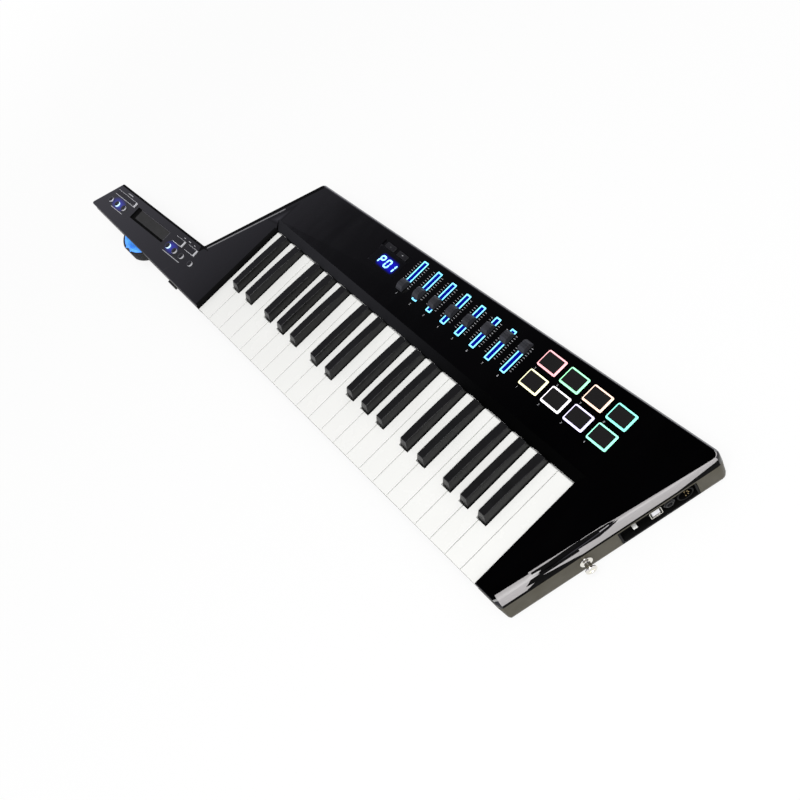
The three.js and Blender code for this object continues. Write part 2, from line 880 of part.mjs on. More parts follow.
// The chassis under the keys, with the stop rail in front and the pivot rail behind.
function keyFrame() {
  const x0 = frameSideGap;
  const x1 = keysWidth - frameSideGap;
  const pivotRear = pivotReach + pivotRailFoot / 2;
  const plate = block(x0, x1, frameFront, pivotRear, frameBottom, frameTop);
  const deepestKey = -whiteDepth - keySwing * (pivotReach - stopRailFront);
  const stopRail = block(
    x0, x1, stopRailFront, stopRailFront + stopRailDepth, frameTop - fit, deepestKey - stopRailGap,
  );
  const crown = -pivotDrop - fit;
  const half = pivotRailWidth / 2;
  const pivotRail = rail(
    [
      [pivotReach - pivotRailFoot / 2, frameTop - fit],
      [pivotRear, frameTop - fit],
      [pivotReach + half, crown - whiteDepth + pivotDrop],
      [pivotReach + half, crown - pivotRailCrown],
      [pivotReach + half / 2, crown],
      [pivotReach - half / 2, crown],
      [pivotReach - half, crown - pivotRailCrown],
      [pivotReach - half, crown - whiteDepth + pivotDrop],
    ],
    x0,
    x1,
  );
  return joined(plate, stopRail, pivotRail);
}

// The notch under a key's tail that sits over the pivot rail.
function pivotNotch(x0, x1) {
  const half = pivotRailWidth / 2 + pivotSideGap;
  return block(
    x0 - overrun, x1 + overrun, pivotReach - half, pivotReach + half, -whiteDepth - overrun, -pivotDrop,
  );
}

// Black key centres, in order from the left.
const blackCentres = Array.from(
  { length: blackCentreShares.length * Math.floor(whiteCount / whitesPerOctave) },
  (_, i) => {
    const octave = Math.floor(i / blackCentreShares.length);
    const share = blackCentreShares[i % blackCentreShares.length];
    return (octave * whitesPerOctave + share) * whitePitch;
  },
);

// A white key: a wide front, a narrow stem between its black neighbours, and a low tail.
function whiteKey(index) {
  const x0 = index * whitePitch + whiteGap / 2;
  const x1 = (index + 1) * whitePitch - whiteGap / 2;
  const clear = blackWidth / 2 + blackSideGap;
  const leftBlack = blackCentres.find((x) => Math.abs(x - index * whitePitch) < blackWidth / 2);
  const rightBlack = blackCentres.find((x) => Math.abs(x - (index + 1) * whitePitch) < blackWidth / 2);
  const stem0 = leftBlack === undefined ? x0 : leftBlack + clear;
  const stem1 = rightBlack === undefined ? x1 : rightBlack - clear;
  const step = blackStart - blackSideGap;
  const plan = [[x0, 0], [x1, 0]];
  if (stem1 < x1) plan.push([x1, step]);
  if (stem1 < x1) plan.push([stem1, step]);
  plan.push([stem1, keyRear], [stem0, keyRear]);
  if (stem0 > x0) plan.push([stem0, step]);
  if (stem0 > x0) plan.push([x0, step]);
  return cutFrom(
    prism(plan, -whiteDepth, 0),
    block(x0 - overrun, x1 + overrun, -overrun, lipReach, -whiteDepth - overrun, -lipDepth),
    block(x0 - overrun, x1 + overrun, whiteReach, keyRear + overrun, -tailDrop, overrun),
    pivotNotch(x0, x1),
  );
}

// What is cut off a black key's head, so that its top falls away to the rear in a shallow curve.
function blackTopCut(x0, x1) {
  const reach = whiteReach + overrun;
  const profile = [[reach, blackRise + overrun], [blackCrownReach, blackRise + overrun]];
  for (let i = 0; i <= blackTopSteps; i++) {
    const share = i / blackTopSteps;
    const y = blackCrownReach + (whiteReach - blackCrownReach) * share;
    profile.push([y, blackRise - (blackRise - blackRearRise) * share ** 2]);
  }
  profile.push([reach, blackRearRise]);
  return rail(profile, x0, x1);
}

// A black key: straight sides below the white tops, drawn in above them, and a low tail.
function blackKey(centre) {
  const rectangle = (width, front, rear) => [
    new THREE.Vector2(centre - width / 2, front),
    new THREE.Vector2(centre + width / 2, front),
    new THREE.Vector2(centre + width / 2, rear),
    new THREE.Vector2(centre - width / 2, rear),
  ];
  const head = loft([
    { z: -whiteDepth, points: rectangle(blackWidth, blackStart, whiteReach) },
    { z: 0, points: rectangle(blackWidth, blackStart, whiteReach) },
    {
      z: blackRise,
      points: rectangle(blackTopWidth, blackStart + blackFrontLean, whiteReach - blackRearLean),
    },
  ]);
  const x0 = centre - blackTailWidth / 2;
  const x1 = centre + blackTailWidth / 2;
  const tail = block(x0, x1, whiteReach - overrun, keyRear, -whiteDepth, -tailDrop);
  const topCut = blackTopCut(centre - blackWidth, centre + blackWidth);
  return cutFrom(joined(head, tail), topCut, pivotNotch(x0, x1));
}

// A fader's cap with its stem through the slot and the foot that holds it in.
function faderCap() {
  const base = top + fit;
  const rectangle = (share) => [
    new THREE.Vector2((-capWidth / 2) * share, (-capLength / 2) * share),
    new THREE.Vector2((capWidth / 2) * share, (-capLength / 2) * share),
    new THREE.Vector2((capWidth / 2) * share, (capLength / 2) * share),
    new THREE.Vector2((-capWidth / 2) * share, (capLength / 2) * share),
  ];
  const cap = loft([
    { z: base, points: rectangle(1) },
    { z: base + capHeight, points: rectangle(capTopShare) },
  ]);
  const grip = rail(
    [
      [-capGripWidth / 2, base + capHeight + overrun],
      [-capGripWidth / 2, base + capHeight],
      [0, base + capHeight - capGripDepth],
      [capGripWidth / 2, base + capHeight],
      [capGripWidth / 2, base + capHeight + overrun],
    ],
    -capWidth,
    capWidth,
  );
  const footTop = ceiling - fit;
  const stem = turnedBlock(0, 0, stemWidth, stemLength, ceiling - stemDrop, base + capHeight / 2);
  const foot = turnedBlock(0, 0, stemFootWidth, stemLength, footTop - stemFootHeight, footTop);
  return joined(cutFrom(cap, grip), stem, foot);
}

// The eight pads, moulded as one rubber sheet under the panel.
function padMat() {
  const sheet = block(padSheet.x0, padSheet.x1, padSheet.y0, padSheet.y1, padSheetBottom, padSheetTop);
  const ledges = padPlaces().map(({ x, y }) =>
    turnedBlock(x, y, padHoleWidth - 2 * fit, padHoleDepth - 2 * fit, padSheetBottom, top - padRimDrop),
  );
  const pads = padPlaces().map(({ x, y }) =>
    turnedBlock(x, y, padHoleWidth - 2 * padRim, padHoleDepth - 2 * padRim, padSheetBottom, top + padProud),
  );
  return joined(sheet, ...ledges, ...pads);
}

// A push button: its cap through the hole, and the flange under the panel.
function pushButton({ width, depth, seat }) {
  const flangeTop = ceiling - fit;
  return joined(
    turnedBlock(0, 0, width, depth, flangeTop - buttonFlangeThickness, seat + buttonProud),
    turnedBlock(
      0, 0, width + 2 * buttonFlange, depth + 2 * buttonFlange, flangeTop - buttonFlangeThickness, flangeTop,
    ),
  );
}

// A pie slice between two radii, centred on the front side of the wheel.
function wheelSector(inner, outer, span, z0, z1) {
  const half = THREE.MathUtils.degToRad(span / 2);
  const middle = -Math.PI / 2;
  const steps = Math.ceil(span / wheelSteps);
  const arc = (radius, backwards) =>
    Array.from({ length: steps + 1 }, (_, k) => {
      const turn = middle + (backwards ? half : -half) + ((backwards ? -1 : 1) * 2 * half * k) / steps;
      return [radius * Math.cos(turn), radius * Math.sin(turn)];
    });
  return prism([...arc(outer, false), ...arc(inner, true)], z0, z1);
}

// The pitch wheel: a thumb-notched rim, a thinner web and a hub on the pin, about its own axis.
function pitchWheel() {
  const webTop = wheelTop - wheelWebTopDrop;
  const rim = wheelSector(wheelRadius - wheelRimWidth, wheelRadius, wheelRimSpan, wheelBottom, wheelTop);
  const web = wheelSector(
    wheelHubRadius / 2, wheelRadius - wheelWebInset, wheelWebSpan, webTop - wheelWebThickness, webTop,
  );
  const hub = drum(0, 0, wheelHubRadius, wheelBottom, wheelTop - wheelHubTopDrop, wheelPinSides);
  const bore = drum(0, 0, wheelPinRadius + fit, wheelBottom - overrun, wheelTop + overrun, wheelPinSides);
  const thumb = drum(
    0,
    -wheelRadius - wheelNotchRadius + wheelNotchDepth,
    wheelNotchRadius,
    wheelBottom - overrun,
    wheelTop + overrun,
    wheelPinSides,
  );
  return cutFrom(joined(rim, web, hub), bore, thumb);
}

// The push button on the neck's front side, with its flange behind the wall.
function sustainButton() {
  const flangeFront = wall - frontProud + neckDraft + fit;
  return joined(
    block(
      -sustainWidth / 2, sustainWidth / 2, -sustainProud, flangeFront + buttonFlangeThickness, 0, sustainHeight,
    ),
    block(
      -sustainWidth / 2 - buttonFlange,
      sustainWidth / 2 + buttonFlange,
      flangeFront,
      flangeFront + buttonFlangeThickness,
      -buttonFlange,
      sustainHeight + buttonFlange,
    ),
  );
}

// A round bar standing out of the slanted end, in the end's own frame.
function endDrum(along, z, radius, out0, out1, sides) {
  const geometry = new THREE.CylinderGeometry(radius, radius, out1 - out0, sides);
  geometry.rotateZ(Math.PI / 2);
  geometry.translate((out0 + out1) / 2, along, z);
  return solid(geometry);
}

// A plain box in the end's own frame.
function plainEndBlock(out0, out1, along0, along1, z0, z1) {
  const geometry = new THREE.BoxGeometry(out1 - out0, along1 - along0, z1 - z0);
  geometry.translate((out0 + out1) / 2, (along0 + along1) / 2, (z0 + z1) / 2);
  return solid(geometry);
}

const socketZ = -socketDrop - socketMidRise;
const panelFace = -recessDepth + panelBack;

// The black tray in the end recess, with its sockets and the switch slot.
function socketPanel() {
  const low = -recessDrop - recessHeight;
  const tray = cutFrom(
    plainEndBlock(-recessDepth, -bodyDraft - fit, recessStart, recessStart + recessLength, low, -recessDrop),
    plainEndBlock(
      panelFace,
      overrun,
      recessStart + panelSide,
      recessStart + recessLength - panelSide,
      low + panelBottom,
      -recessDrop - panelTopLip,
    ),
  );
  const housing = (along, half) =>
    plainEndBlock(
      panelFace - socketDepth - socketBackWall,
      -recessDepth + fit,
      along - half - socketBackWall,
      along + half + socketBackWall,
      socketZ - half - socketBackWall,
      socketZ + half + socketBackWall,
    );
  const back = panelFace - socketDepth;
  const front = panelFace + socketCollarHeight;
  return cutFrom(
    joined(
      tray,
      housing(usbAlong, usbWidth / 2),
      housing(jackAlong, jackRadius),
      housing(midiAlong, midiRadius),
      plainEndBlock(
        panelFace - fit,
        front,
        usbAlong - usbWidth / 2 - socketCollar,
        usbAlong + usbWidth / 2 + socketCollar,
        socketZ - usbHeight / 2 - socketCollar,
        socketZ + usbHeight / 2 + socketCollar,
      ),
      endDrum(jackAlong, socketZ, jackRadius + 2 * socketCollar, panelFace - fit, front, socketSides),
      endDrum(midiAlong, socketZ, midiRadius + socketCollar, panelFace - fit, front, socketSides),
    ),
    plainEndBlock(
      back,
      overrun,
      usbAlong - usbWidth / 2,
      usbAlong + usbWidth / 2,
      socketZ - usbHeight / 2,
      socketZ + usbHeight / 2,
    ),
    endDrum(jackAlong, socketZ, jackRadius, back, overrun, socketSides),
    endDrum(midiAlong, socketZ, midiRadius, back, overrun, socketSides),
    plainEndBlock(
      -recessDepth - overrun,
      overrun,
      switchAlong - switchSlotWidth / 2,
      switchAlong + switchSlotWidth / 2,
      socketZ - switchSlotHeight / 2,
      socketZ + switchSlotHeight / 2,
    ),
  );
}

// The slide switch: a knob through the slot and the foot behind the panel.
function powerSwitch() {
  const rest = switchAlong - switchTravel / 2;
  const foot = -recessDepth - fit;
  return joined(
    plainEndBlock(
      foot - switchFootThickness,
      panelFace + switchKnobProud,
      rest - switchKnobWidth / 2,
      rest + switchKnobWidth / 2,
      socketZ - switchKnobHeight / 2,
      socketZ + switchKnobHeight / 2,
    ),
    plainEndBlock(
      foot - switchFootThickness,
      foot,
      rest - switchFootWidth / 2,
      rest + switchFootWidth / 2,
      socketZ - switchFootWidth / 2,
      socketZ + switchFootWidth / 2,
    ),
  );
}

// The strap pin, turned about its own axis.
function strapPin() {
  const face = fit;
  const profile = [
    [0, face],
    [strapBaseRadius, face],
    [strapBaseRadius, face + strapBaseThickness / 2],
    [strapNeckRadius, face + strapBaseThickness],
    [strapNeckRadius, strapReach - strapHeadThickness],
    [strapHeadRadius, strapReach - strapHeadThickness / 2],
    [strapHeadRadius, strapReach - strapHeadThickness / 3],
    [strapHeadRadius - strapHeadThickness / 3, strapReach],
    [0, strapReach],
  ].map(([radius, out]) => new THREE.Vector2(radius, out));
  const geometry = new THREE.LatheGeometry(profile, strapSides);
  geometry.rotateZ(-Math.PI / 2);
  return solid(geometry);
}

// The battery door: a flush plate with a tongue along each long side and a finger grip.
function batteryDoor() {
  const width = doorX1 - doorX0;
  const depth = doorY1 - doorY0;
  const plate = turnedBlock(0, 0, width, depth, 0, doorThickness);
  const tongues = turnedBlock(
    0, 0, width, depth + 2 * doorGrooveDepth, doorThickness - doorTongueThickness, doorThickness,
  );
  const grip = block(
    width / 2 - doorGripDepth - doorMargin,
    width / 2 - doorMargin,
    -doorGripWidth / 2,
    doorGripWidth / 2,
    -overrun,
    doorGripRecess,
  );
  return cutFrom(joined(plate, tongues), grip);
}

const keyboard = new THREE.Group();
const rightEnd = new THREE.Group();
rightEnd.position.set(rightFront.x, 0, 0);
rightEnd.rotation.z = -endAngle;
keyboard.add(rightEnd);

function place(parent, name, body, material, position = [0, 0, 0], turn = 0) {
  const mesh = new THREE.Mesh(geometryOf(body), material);
  mesh.name = name;
  mesh.position.set(...position);
  mesh.rotation.z = turn;
  parent.add(mesh);
}

place(keyboard, "upper_case", upperCase(), glossBlack);
place(keyboard, "lower_case", lowerCase(), satinGrey);
place(keyboard, "key_frame", keyFrame(), chassisPlastic);

const whiteLetters = ["c", "d", "e", "f", "g", "a", "b"];
const sharpLetters = ["c", "d", "f", "g", "a"];
for (let i = 0; i < whiteCount; i++) {
  const octave = Math.floor(i / whitesPerOctave) + 1;
  const name = "key_" + whiteLetters[i % whitesPerOctave] + octave;
  place(keyboard, name, whiteKey(i), whitePlastic);
}
blackCentres.forEach((centre, i) => {
  const octave = Math.floor(i / sharpLetters.length) + 1;
  const name = "key_" + sharpLetters[i % sharpLetters.length] + octave + "_sharp";
  place(keyboard, name, blackKey(centre), blackKeyPlastic);
});

faderPlaces().forEach(({ x, y }, i) => {
  place(keyboard, "fader_cap_" + (i + 1), faderCap(), capPlastic, [x, y, 0]);
});
place(keyboard, "pad_mat", padMat(), padRubber);
for (const button of panelButtons) {
  place(keyboard, button.name, pushButton(button), capPlastic, [button.x, button.y, 0], button.turn);
}
place(keyboard, "pitch_wheel", pitchWheel(), wheelPlastic, [wheelX, wheelY, 0]);
place(keyboard, "sustain_button", sustainButton(), capPlastic, [sustainX, 0, sustainBottom]);
place(keyboard, "battery_door", batteryDoor(), satinGrey, [bay.x, bay.y, doorBottom]);
place(rightEnd, "socket_panel", socketPanel(), socketPlastic);
place(rightEnd, "power_switch", powerSwitch(), switchPlastic);
place(rightEnd, "strap_pin", strapPin(), strapMetal, [-bodyDraft / 2, strapAlong, -strapDrop]);

// The whole instrument stands on the middle of its underside.
const keytar = new THREE.Group();
keytar.add(keyboard);
const reach = new THREE.Box3().setFromObject(keytar, true);
const middle = reach.getCenter(new THREE.Vector3());
keyboard.position.set(-middle.x, -middle.y, -reach.min.z);

export default keytar;
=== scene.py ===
"""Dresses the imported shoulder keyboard: finishes, lights, numbers and small fittings, in a studio."""

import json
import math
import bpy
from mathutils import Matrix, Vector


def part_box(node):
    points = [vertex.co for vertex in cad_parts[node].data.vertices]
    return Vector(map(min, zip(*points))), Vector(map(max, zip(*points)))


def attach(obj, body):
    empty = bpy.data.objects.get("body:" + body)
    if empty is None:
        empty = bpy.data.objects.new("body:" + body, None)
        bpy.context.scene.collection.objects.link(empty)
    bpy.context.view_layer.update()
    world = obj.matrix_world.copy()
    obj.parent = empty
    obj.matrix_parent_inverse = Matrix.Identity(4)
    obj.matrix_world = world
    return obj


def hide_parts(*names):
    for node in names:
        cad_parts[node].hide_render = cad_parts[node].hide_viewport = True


bl_info = {
    "name": "Shoulder Keyboard Dressing",
    "version": (1, 0, 0),
    "blender": (4, 5, 0),
    "location": "View3D > Sidebar > Keyboard",
    "description": "Gives the packed shoulder keyboard its finishes, lights, numbers and fittings",
    "category": "Object",
}

from contextlib import contextmanager

import bmesh
import bpy
from bpy.props import FloatProperty, FloatVectorProperty, IntProperty, PointerProperty, StringProperty
from mathutils import Euler, Matrix, Vector

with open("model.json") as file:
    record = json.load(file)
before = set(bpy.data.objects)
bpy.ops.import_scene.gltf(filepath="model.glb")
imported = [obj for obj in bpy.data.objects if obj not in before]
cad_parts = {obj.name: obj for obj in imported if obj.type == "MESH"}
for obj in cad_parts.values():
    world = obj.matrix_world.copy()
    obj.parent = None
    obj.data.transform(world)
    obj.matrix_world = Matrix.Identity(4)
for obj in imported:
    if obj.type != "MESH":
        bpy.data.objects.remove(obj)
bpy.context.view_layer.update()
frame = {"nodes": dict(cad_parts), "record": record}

MM = 0.001

# The drawing's zero: the left front corner of the first key, at the height of the white keys' tops
FIRST_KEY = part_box("key_c1")
KEY_SIDE_GAP = 0.5
DATUM = Vector((FIRST_KEY[0].x - KEY_SIDE_GAP * MM, FIRST_KEY[0].y, FIRST_KEY[1].z))
PANEL_TOP = 5.0
NECK_TILT = math.atan(0.06)
END_ANGLE = math.atan(0.2375)
END_CORNER = (549.5, 0.0)
END_OUT = Vector((math.cos(END_ANGLE), -math.sin(END_ANGLE), 0))
END_ALONG = Vector((math.sin(END_ANGLE), math.cos(END_ANGLE), 0))
MERGE = 0.002 * MM
BODY_OF = {
    node: body
    for body, members in frame["record"]["behaviour"]["bodies"].items()
    for node in members
}
BLACK_KEYS = [name for name in frame["nodes"] if name.endswith("_sharp")]
WHITE_KEYS = [
    name for name in frame["nodes"]
    if name.startswith("key_") and name not in BLACK_KEYS and name != "key_frame"
]


# Places


def place(x, y, z):
    """A point of the drawing, in millimetres, as a point of the frame."""
    return DATUM + Vector((x, y, z)) * MM


def shift(x, y, z):
    """A move by a number of millimetres."""
    return Matrix.Translation(Vector((x, y, z)) * MM)


def neck_matrix(x, y, z):
    """A place on the neck, whose controls are turned with its rear edge."""
    return flat_matrix(x, y, z) @ Matrix.Rotation(NECK_TILT, 4, "Z")


def flat_matrix(x, y, z):
    """A place on the panel, square to the keys."""
    return Matrix.Translation(place(x, y, z))


def drawn(point):
    """A point in millimetres of the frame, in the drawing's own coordinates."""
    return Vector(point) - DATUM / MM


def end_matrix(out, along, z):
    """A place on the slanted right end: x points out of it, y along it towards the rear."""
    corner = Matrix.Translation(place(*END_CORNER, 0))
    turn = Matrix.Rotation(-END_ANGLE, 4, "Z")
    return corner @ turn @ shift(out, along, z)


def end_point(point):
    """A point in millimetres of the frame, as out, along and height on the right end."""
    return END_BACK @ (Vector(point) * MM) / MM


def drawn_box(node):
    """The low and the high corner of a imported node, in the drawing's own coordinates."""
    return [drawn(corner / MM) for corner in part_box(node)]


END_BACK = end_matrix(0, 0, 0).inverted()


# Modelling


def deselect():
    if bpy.context.object and bpy.context.object.mode != "OBJECT":
        bpy.ops.object.mode_set(mode="OBJECT")
    bpy.ops.object.select_all(action="DESELECT")


def choose(*pieces):
    deselect()
    for piece in pieces:
        piece.select_set(True)
    bpy.context.view_layer.objects.active = pieces[-1]


@contextmanager
def editing(piece, kind="FACE"):
    choose(piece)
    bpy.ops.object.mode_set(mode="EDIT")
    bpy.ops.mesh.select_mode(type=kind)
    bpy.ops.mesh.select_all(action="DESELECT")
    yield piece
    bpy.ops.object.mode_set(mode="OBJECT")


def pick_faces(piece, test):
    """Selects the faces whose centre, in millimetres, and normal pass the test."""
    mesh = bmesh.from_edit_mesh(piece.data)
    count = 0
    for face in mesh.faces:
        chosen = test(face.calc_center_median() / MM, face.normal)
        face.select_set(chosen)
        count += chosen
    bmesh.update_edit_mesh(piece.data)
    return count


def pick_edges(piece, test):
    """Selects the edges whose middle, in millimetres, and direction pass the test."""
    mesh = bmesh.from_edit_mesh(piece.data)
    for edge in mesh.edges:
        start, end = (vertex.co for vertex in edge.verts)
        edge.select_set(test((start + end) / 2 / MM, (end - start).normalized()))
    bmesh.update_edit_mesh(piece.data)


def top_face(piece):
    """A test for the faces at the very top of a piece."""
    height = max(vertex.co.z for vertex in piece.data.vertices) / MM
    return lambda centre, normal: normal.z > 0.9 and centre.z > height - 0.01


def upright(middle, way):
    """Whether an edge stands upright."""
    return abs(way.z) > 0.9


def started(name):
    """The primitive just added, named and with its place and size in its mesh."""
    piece = bpy.context.object
    piece.name = piece.data.name = name
    bpy.ops.object.transform_apply(location=True, rotation=True, scale=True)
    return piece


def start_block(name, width, depth, height, centre=(0, 0, 0)):
    """A block around a centre in millimetres, as the start of a piece."""
    deselect()
    bpy.ops.mesh.primitive_cube_add(
        size=1, location=Vector(centre) * MM, scale=Vector((width, depth, height)) * MM
    )
    return started(name)


def start_drum(name, radius, height, sides=48, base=0):
    """An upright drum standing at a base height, in millimetres, as the start of a piece."""
    deselect()
    bpy.ops.mesh.primitive_cylinder_add(
        vertices=sides, radius=radius * MM, depth=height * MM,
        location=(0, 0, (base + height / 2) * MM),
    )
    return started(name)


def grow(rise, scale=1.0):
    """Pulls the selected faces up by millimetres and draws them in around the middle."""
    bpy.ops.mesh.extrude_region_move(TRANSFORM_OT_translate={"value": (0, 0, rise * MM)})
    bpy.ops.transform.resize(value=(scale, scale, 1), center_override=(0, 0, 0))


def soften(piece, width, segments=2, angle=30):
    """Rounds the piece's edges and applies the rounding."""
    choose(piece)
    rounding = piece.modifiers.new("edges", "BEVEL")
    rounding.width = width * MM
    rounding.segments = segments
    rounding.limit_method = "ANGLE"
    rounding.angle_limit = math.radians(angle)
    rounding.harden_normals = False
    rounding.use_clamp_overlap = True
    bpy.ops.object.modifier_apply(modifier=rounding.name)


def smooth(piece, angle=40):
    """Shades rounded edges smoothly and keeps the flat faces between them flat."""
    choose(piece)
    bpy.ops.object.shade_smooth_by_angle(angle=math.radians(angle))
    even = piece.modifiers.new("even", "WEIGHTED_NORMAL")
    even.keep_sharp = True
    bpy.ops.object.modifier_apply(modifier=even.name)


def ease(piece, width, segments=2, angle=30, shading=40):
    """Rounds the piece's edges and shades them smoothly."""
    soften(piece, width, segments, angle)
    smooth(piece, shading)


def cut_away(piece, cutter):
    """Cuts one piece out of another and removes the cutter."""
    choose(piece)
    cut = piece.modifiers.new("cut", "BOOLEAN")
    cut.operation = "DIFFERENCE"
    cut.object = cutter
    bpy.ops.object.modifier_apply(modifier=cut.name)
    remove(cutter)


def cut_cross(piece, length, width, depth, height):
    """Cuts a cross into the top of a piece, around a height in millimetres."""
    for turn in (0, math.pi / 2):
        arm = start_block("arm", length, width, depth, (0, 0, height))
        cut_away(piece, moved(arm, Matrix.Rotation(turn, 4, "Z")))
    tidy(piece)


def tidy(piece):
    """Merges doubled points and turns every face outwards."""
    with editing(piece, "VERT"):
        bpy.ops.mesh.select_all(action="SELECT")
        bpy.ops.mesh.remove_doubles(threshold=MERGE)
        bpy.ops.mesh.normals_make_consistent(inside=False)


def settle(piece, body, slot, *names):
    """Gives a finished piece its finishes by name and its body; the slot is not used."""
    for name in names:
        piece.data.materials.append(finish(name))
    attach(piece, body)
    return piece


def trim(piece, name, slot="switch_plastic"):
    """Gives a small piece that stays on the case its finish."""
    return settle(piece, "case", slot, name)


def copied(piece, name, matrix):
    """The piece again, with a mesh of its own, put in another place."""
    again = bpy.data.objects.new(name, piece.data.copy())
    again.data.name = name
    again.data.transform(matrix)
    bpy.context.scene.collection.objects.link(again)
    return again


def moved(piece, matrix):
    piece.data.transform(matrix)
    return piece


def remove(piece):
    mesh = piece.data
    bpy.data.objects.remove(piece)
    bpy.data.meshes.remove(mesh)


def joined(name, pieces):
    choose(*pieces)
    if len(pieces) > 1:
        bpy.ops.object.join()
    whole = bpy.context.object
    whole.name = whole.data.name = name
    return whole


def merged_copy(node):
    """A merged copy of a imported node, with its flat faces whole again."""
    name = node + "_finished"
    source = frame["nodes"][node]
    piece = bpy.data.objects.new(name, source.data.copy())
    piece.data.name = name
    piece.data.materials.clear()
    bpy.context.scene.collection.objects.link(piece)
    choose(piece)
    bpy.ops.mesh.customdata_custom_splitnormals_clear()
    with editing(piece, "VERT"):
        bpy.ops.mesh.select_all(action="SELECT")
        bpy.ops.mesh.remove_doubles(threshold=MERGE)
        bpy.ops.mesh.dissolve_limited(angle_limit=math.radians(0.4))
        bpy.ops.mesh.normals_make_consistent(inside=False)
    return piece


def refined(node, slot, name, edge, segments=2):
    """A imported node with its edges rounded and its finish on."""
    piece = merged_copy(node)
    ease(piece, edge, segments, 35)
    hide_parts(node)
    return settle(piece, BODY_OF[node], slot, name)


def lettering(name, text, height, matrix, thickness=0.08):
    """A number or sign lying on a surface, as a thin raised print."""
    deselect()
    bpy.ops.object.text_add(location=(0, 0, 0))
    sign = bpy.context.object
    sign.data.body = text
    sign.data.size = height * MM
    sign.data.align_x = "CENTER"
    sign.data.align_y = "CENTER"
    sign.data.extrude = thickness / 2 * MM
    sign.data.resolution_u = 4
    bpy.ops.object.convert(target="MESH")
    sign = bpy.context.object
    sign.name = sign.data.name = name
    tidy(sign)
    return moved(sign, matrix @ shift(0, 0, thickness / 2))


def printed_bar(name, width, depth, matrix, thickness=0.08):
    """A short printed line, thick enough to have an edge."""
    bar = start_block(name, width, depth, thickness, (0, 0, thickness / 2))
    with editing(bar, "EDGE"):
        pick_edges(bar, upright)
        bpy.ops.mesh.bevel(offset=min(width, depth) * 0.3 * MM, segments=3)
    return moved(bar, matrix)


def hollow_frame(name, width, depth, height, line, corner, edge=0.0):
    """A frame with a hole through it, standing on zero, with round corners and softened edges."""
    ring = start_block(name, width, depth, height, (0, 0, height / 2))
    with editing(ring):
        pick_faces(ring, lambda centre, normal: abs(normal.z) > 0.9)
        bpy.ops.mesh.inset(thickness=line * MM, use_even_offset=True)
        bpy.ops.mesh.bridge_edge_loops()
    for half, radius in ((width / 2, corner), (width / 2 - line, max(corner - line, 0.2))):
        with editing(ring, "EDGE"):
            pick_edges(
                ring,
                lambda middle, way: upright(middle, way) and abs(abs(middle.x) - half) < 0.01,
            )
            bpy.ops.mesh.bevel(offset=radius * MM, segments=5)
    if edge:
        soften(ring, edge, 2)
    tidy(ring)
    smooth(ring)
    return ring


# Materials


WHITE = (1.0, 1.0, 1.0)


class Nodes:
    """A node tree being made."""

    def __init__(self, tree):
        self.tree = tree

    def add(self, kind, **settings):
        node = self.tree.nodes.new(kind)
        for key, value in settings.items():
            setattr(node, key, value)
        return node

    def link(self, start, end):
        self.tree.links.new(start, end)

    def plain(self, kind, colour):
        """A shader or a background of one colour."""
        node = self.add(kind)
        node.inputs["Color"].default_value = (*colour, 1)
        return node

    def mix(self, share, first, second):
        """Two shaders mixed by a share."""
        node = self.add("ShaderNodeMixShader")
        for socket, source in zip(node.inputs, (share, first, second)):
            self.link(source, socket)
        return node.outputs["Shader"]

    def sum(self, first, second):
        """The sum of two shares, one at most."""
        node = self.add("ShaderNodeMath", operation="ADD", use_clamp=True)
        self.link(first, node.inputs[0])
        self.link(second, node.inputs[1])
        return node.outputs["Value"]

    def vector(self, operation, first, second=(0, 0, 0)):
        """The outputs of one step of vector arithmetic."""
        node = self.add("ShaderNodeVectorMath", operation=operation)
        node.inputs[1].default_value = second
        self.link(first, node.inputs[0])
        return node.outputs

    def spread(self, value, low, high, start=0.3, end=0.7, kind="LINEAR"):
        """A value between a start and an end, as a value between low and high."""
        ranged = self.add("ShaderNodeMapRange", interpolation_type=kind)
        names = ("From Min", "From Max", "To Min", "To Max")
        for name, limit in zip(names, (start, end, low, high)):
            ranged.inputs[name].default_value = limit
        self.link(value, ranged.inputs["Value"])
        return ranged.outputs["Result"]


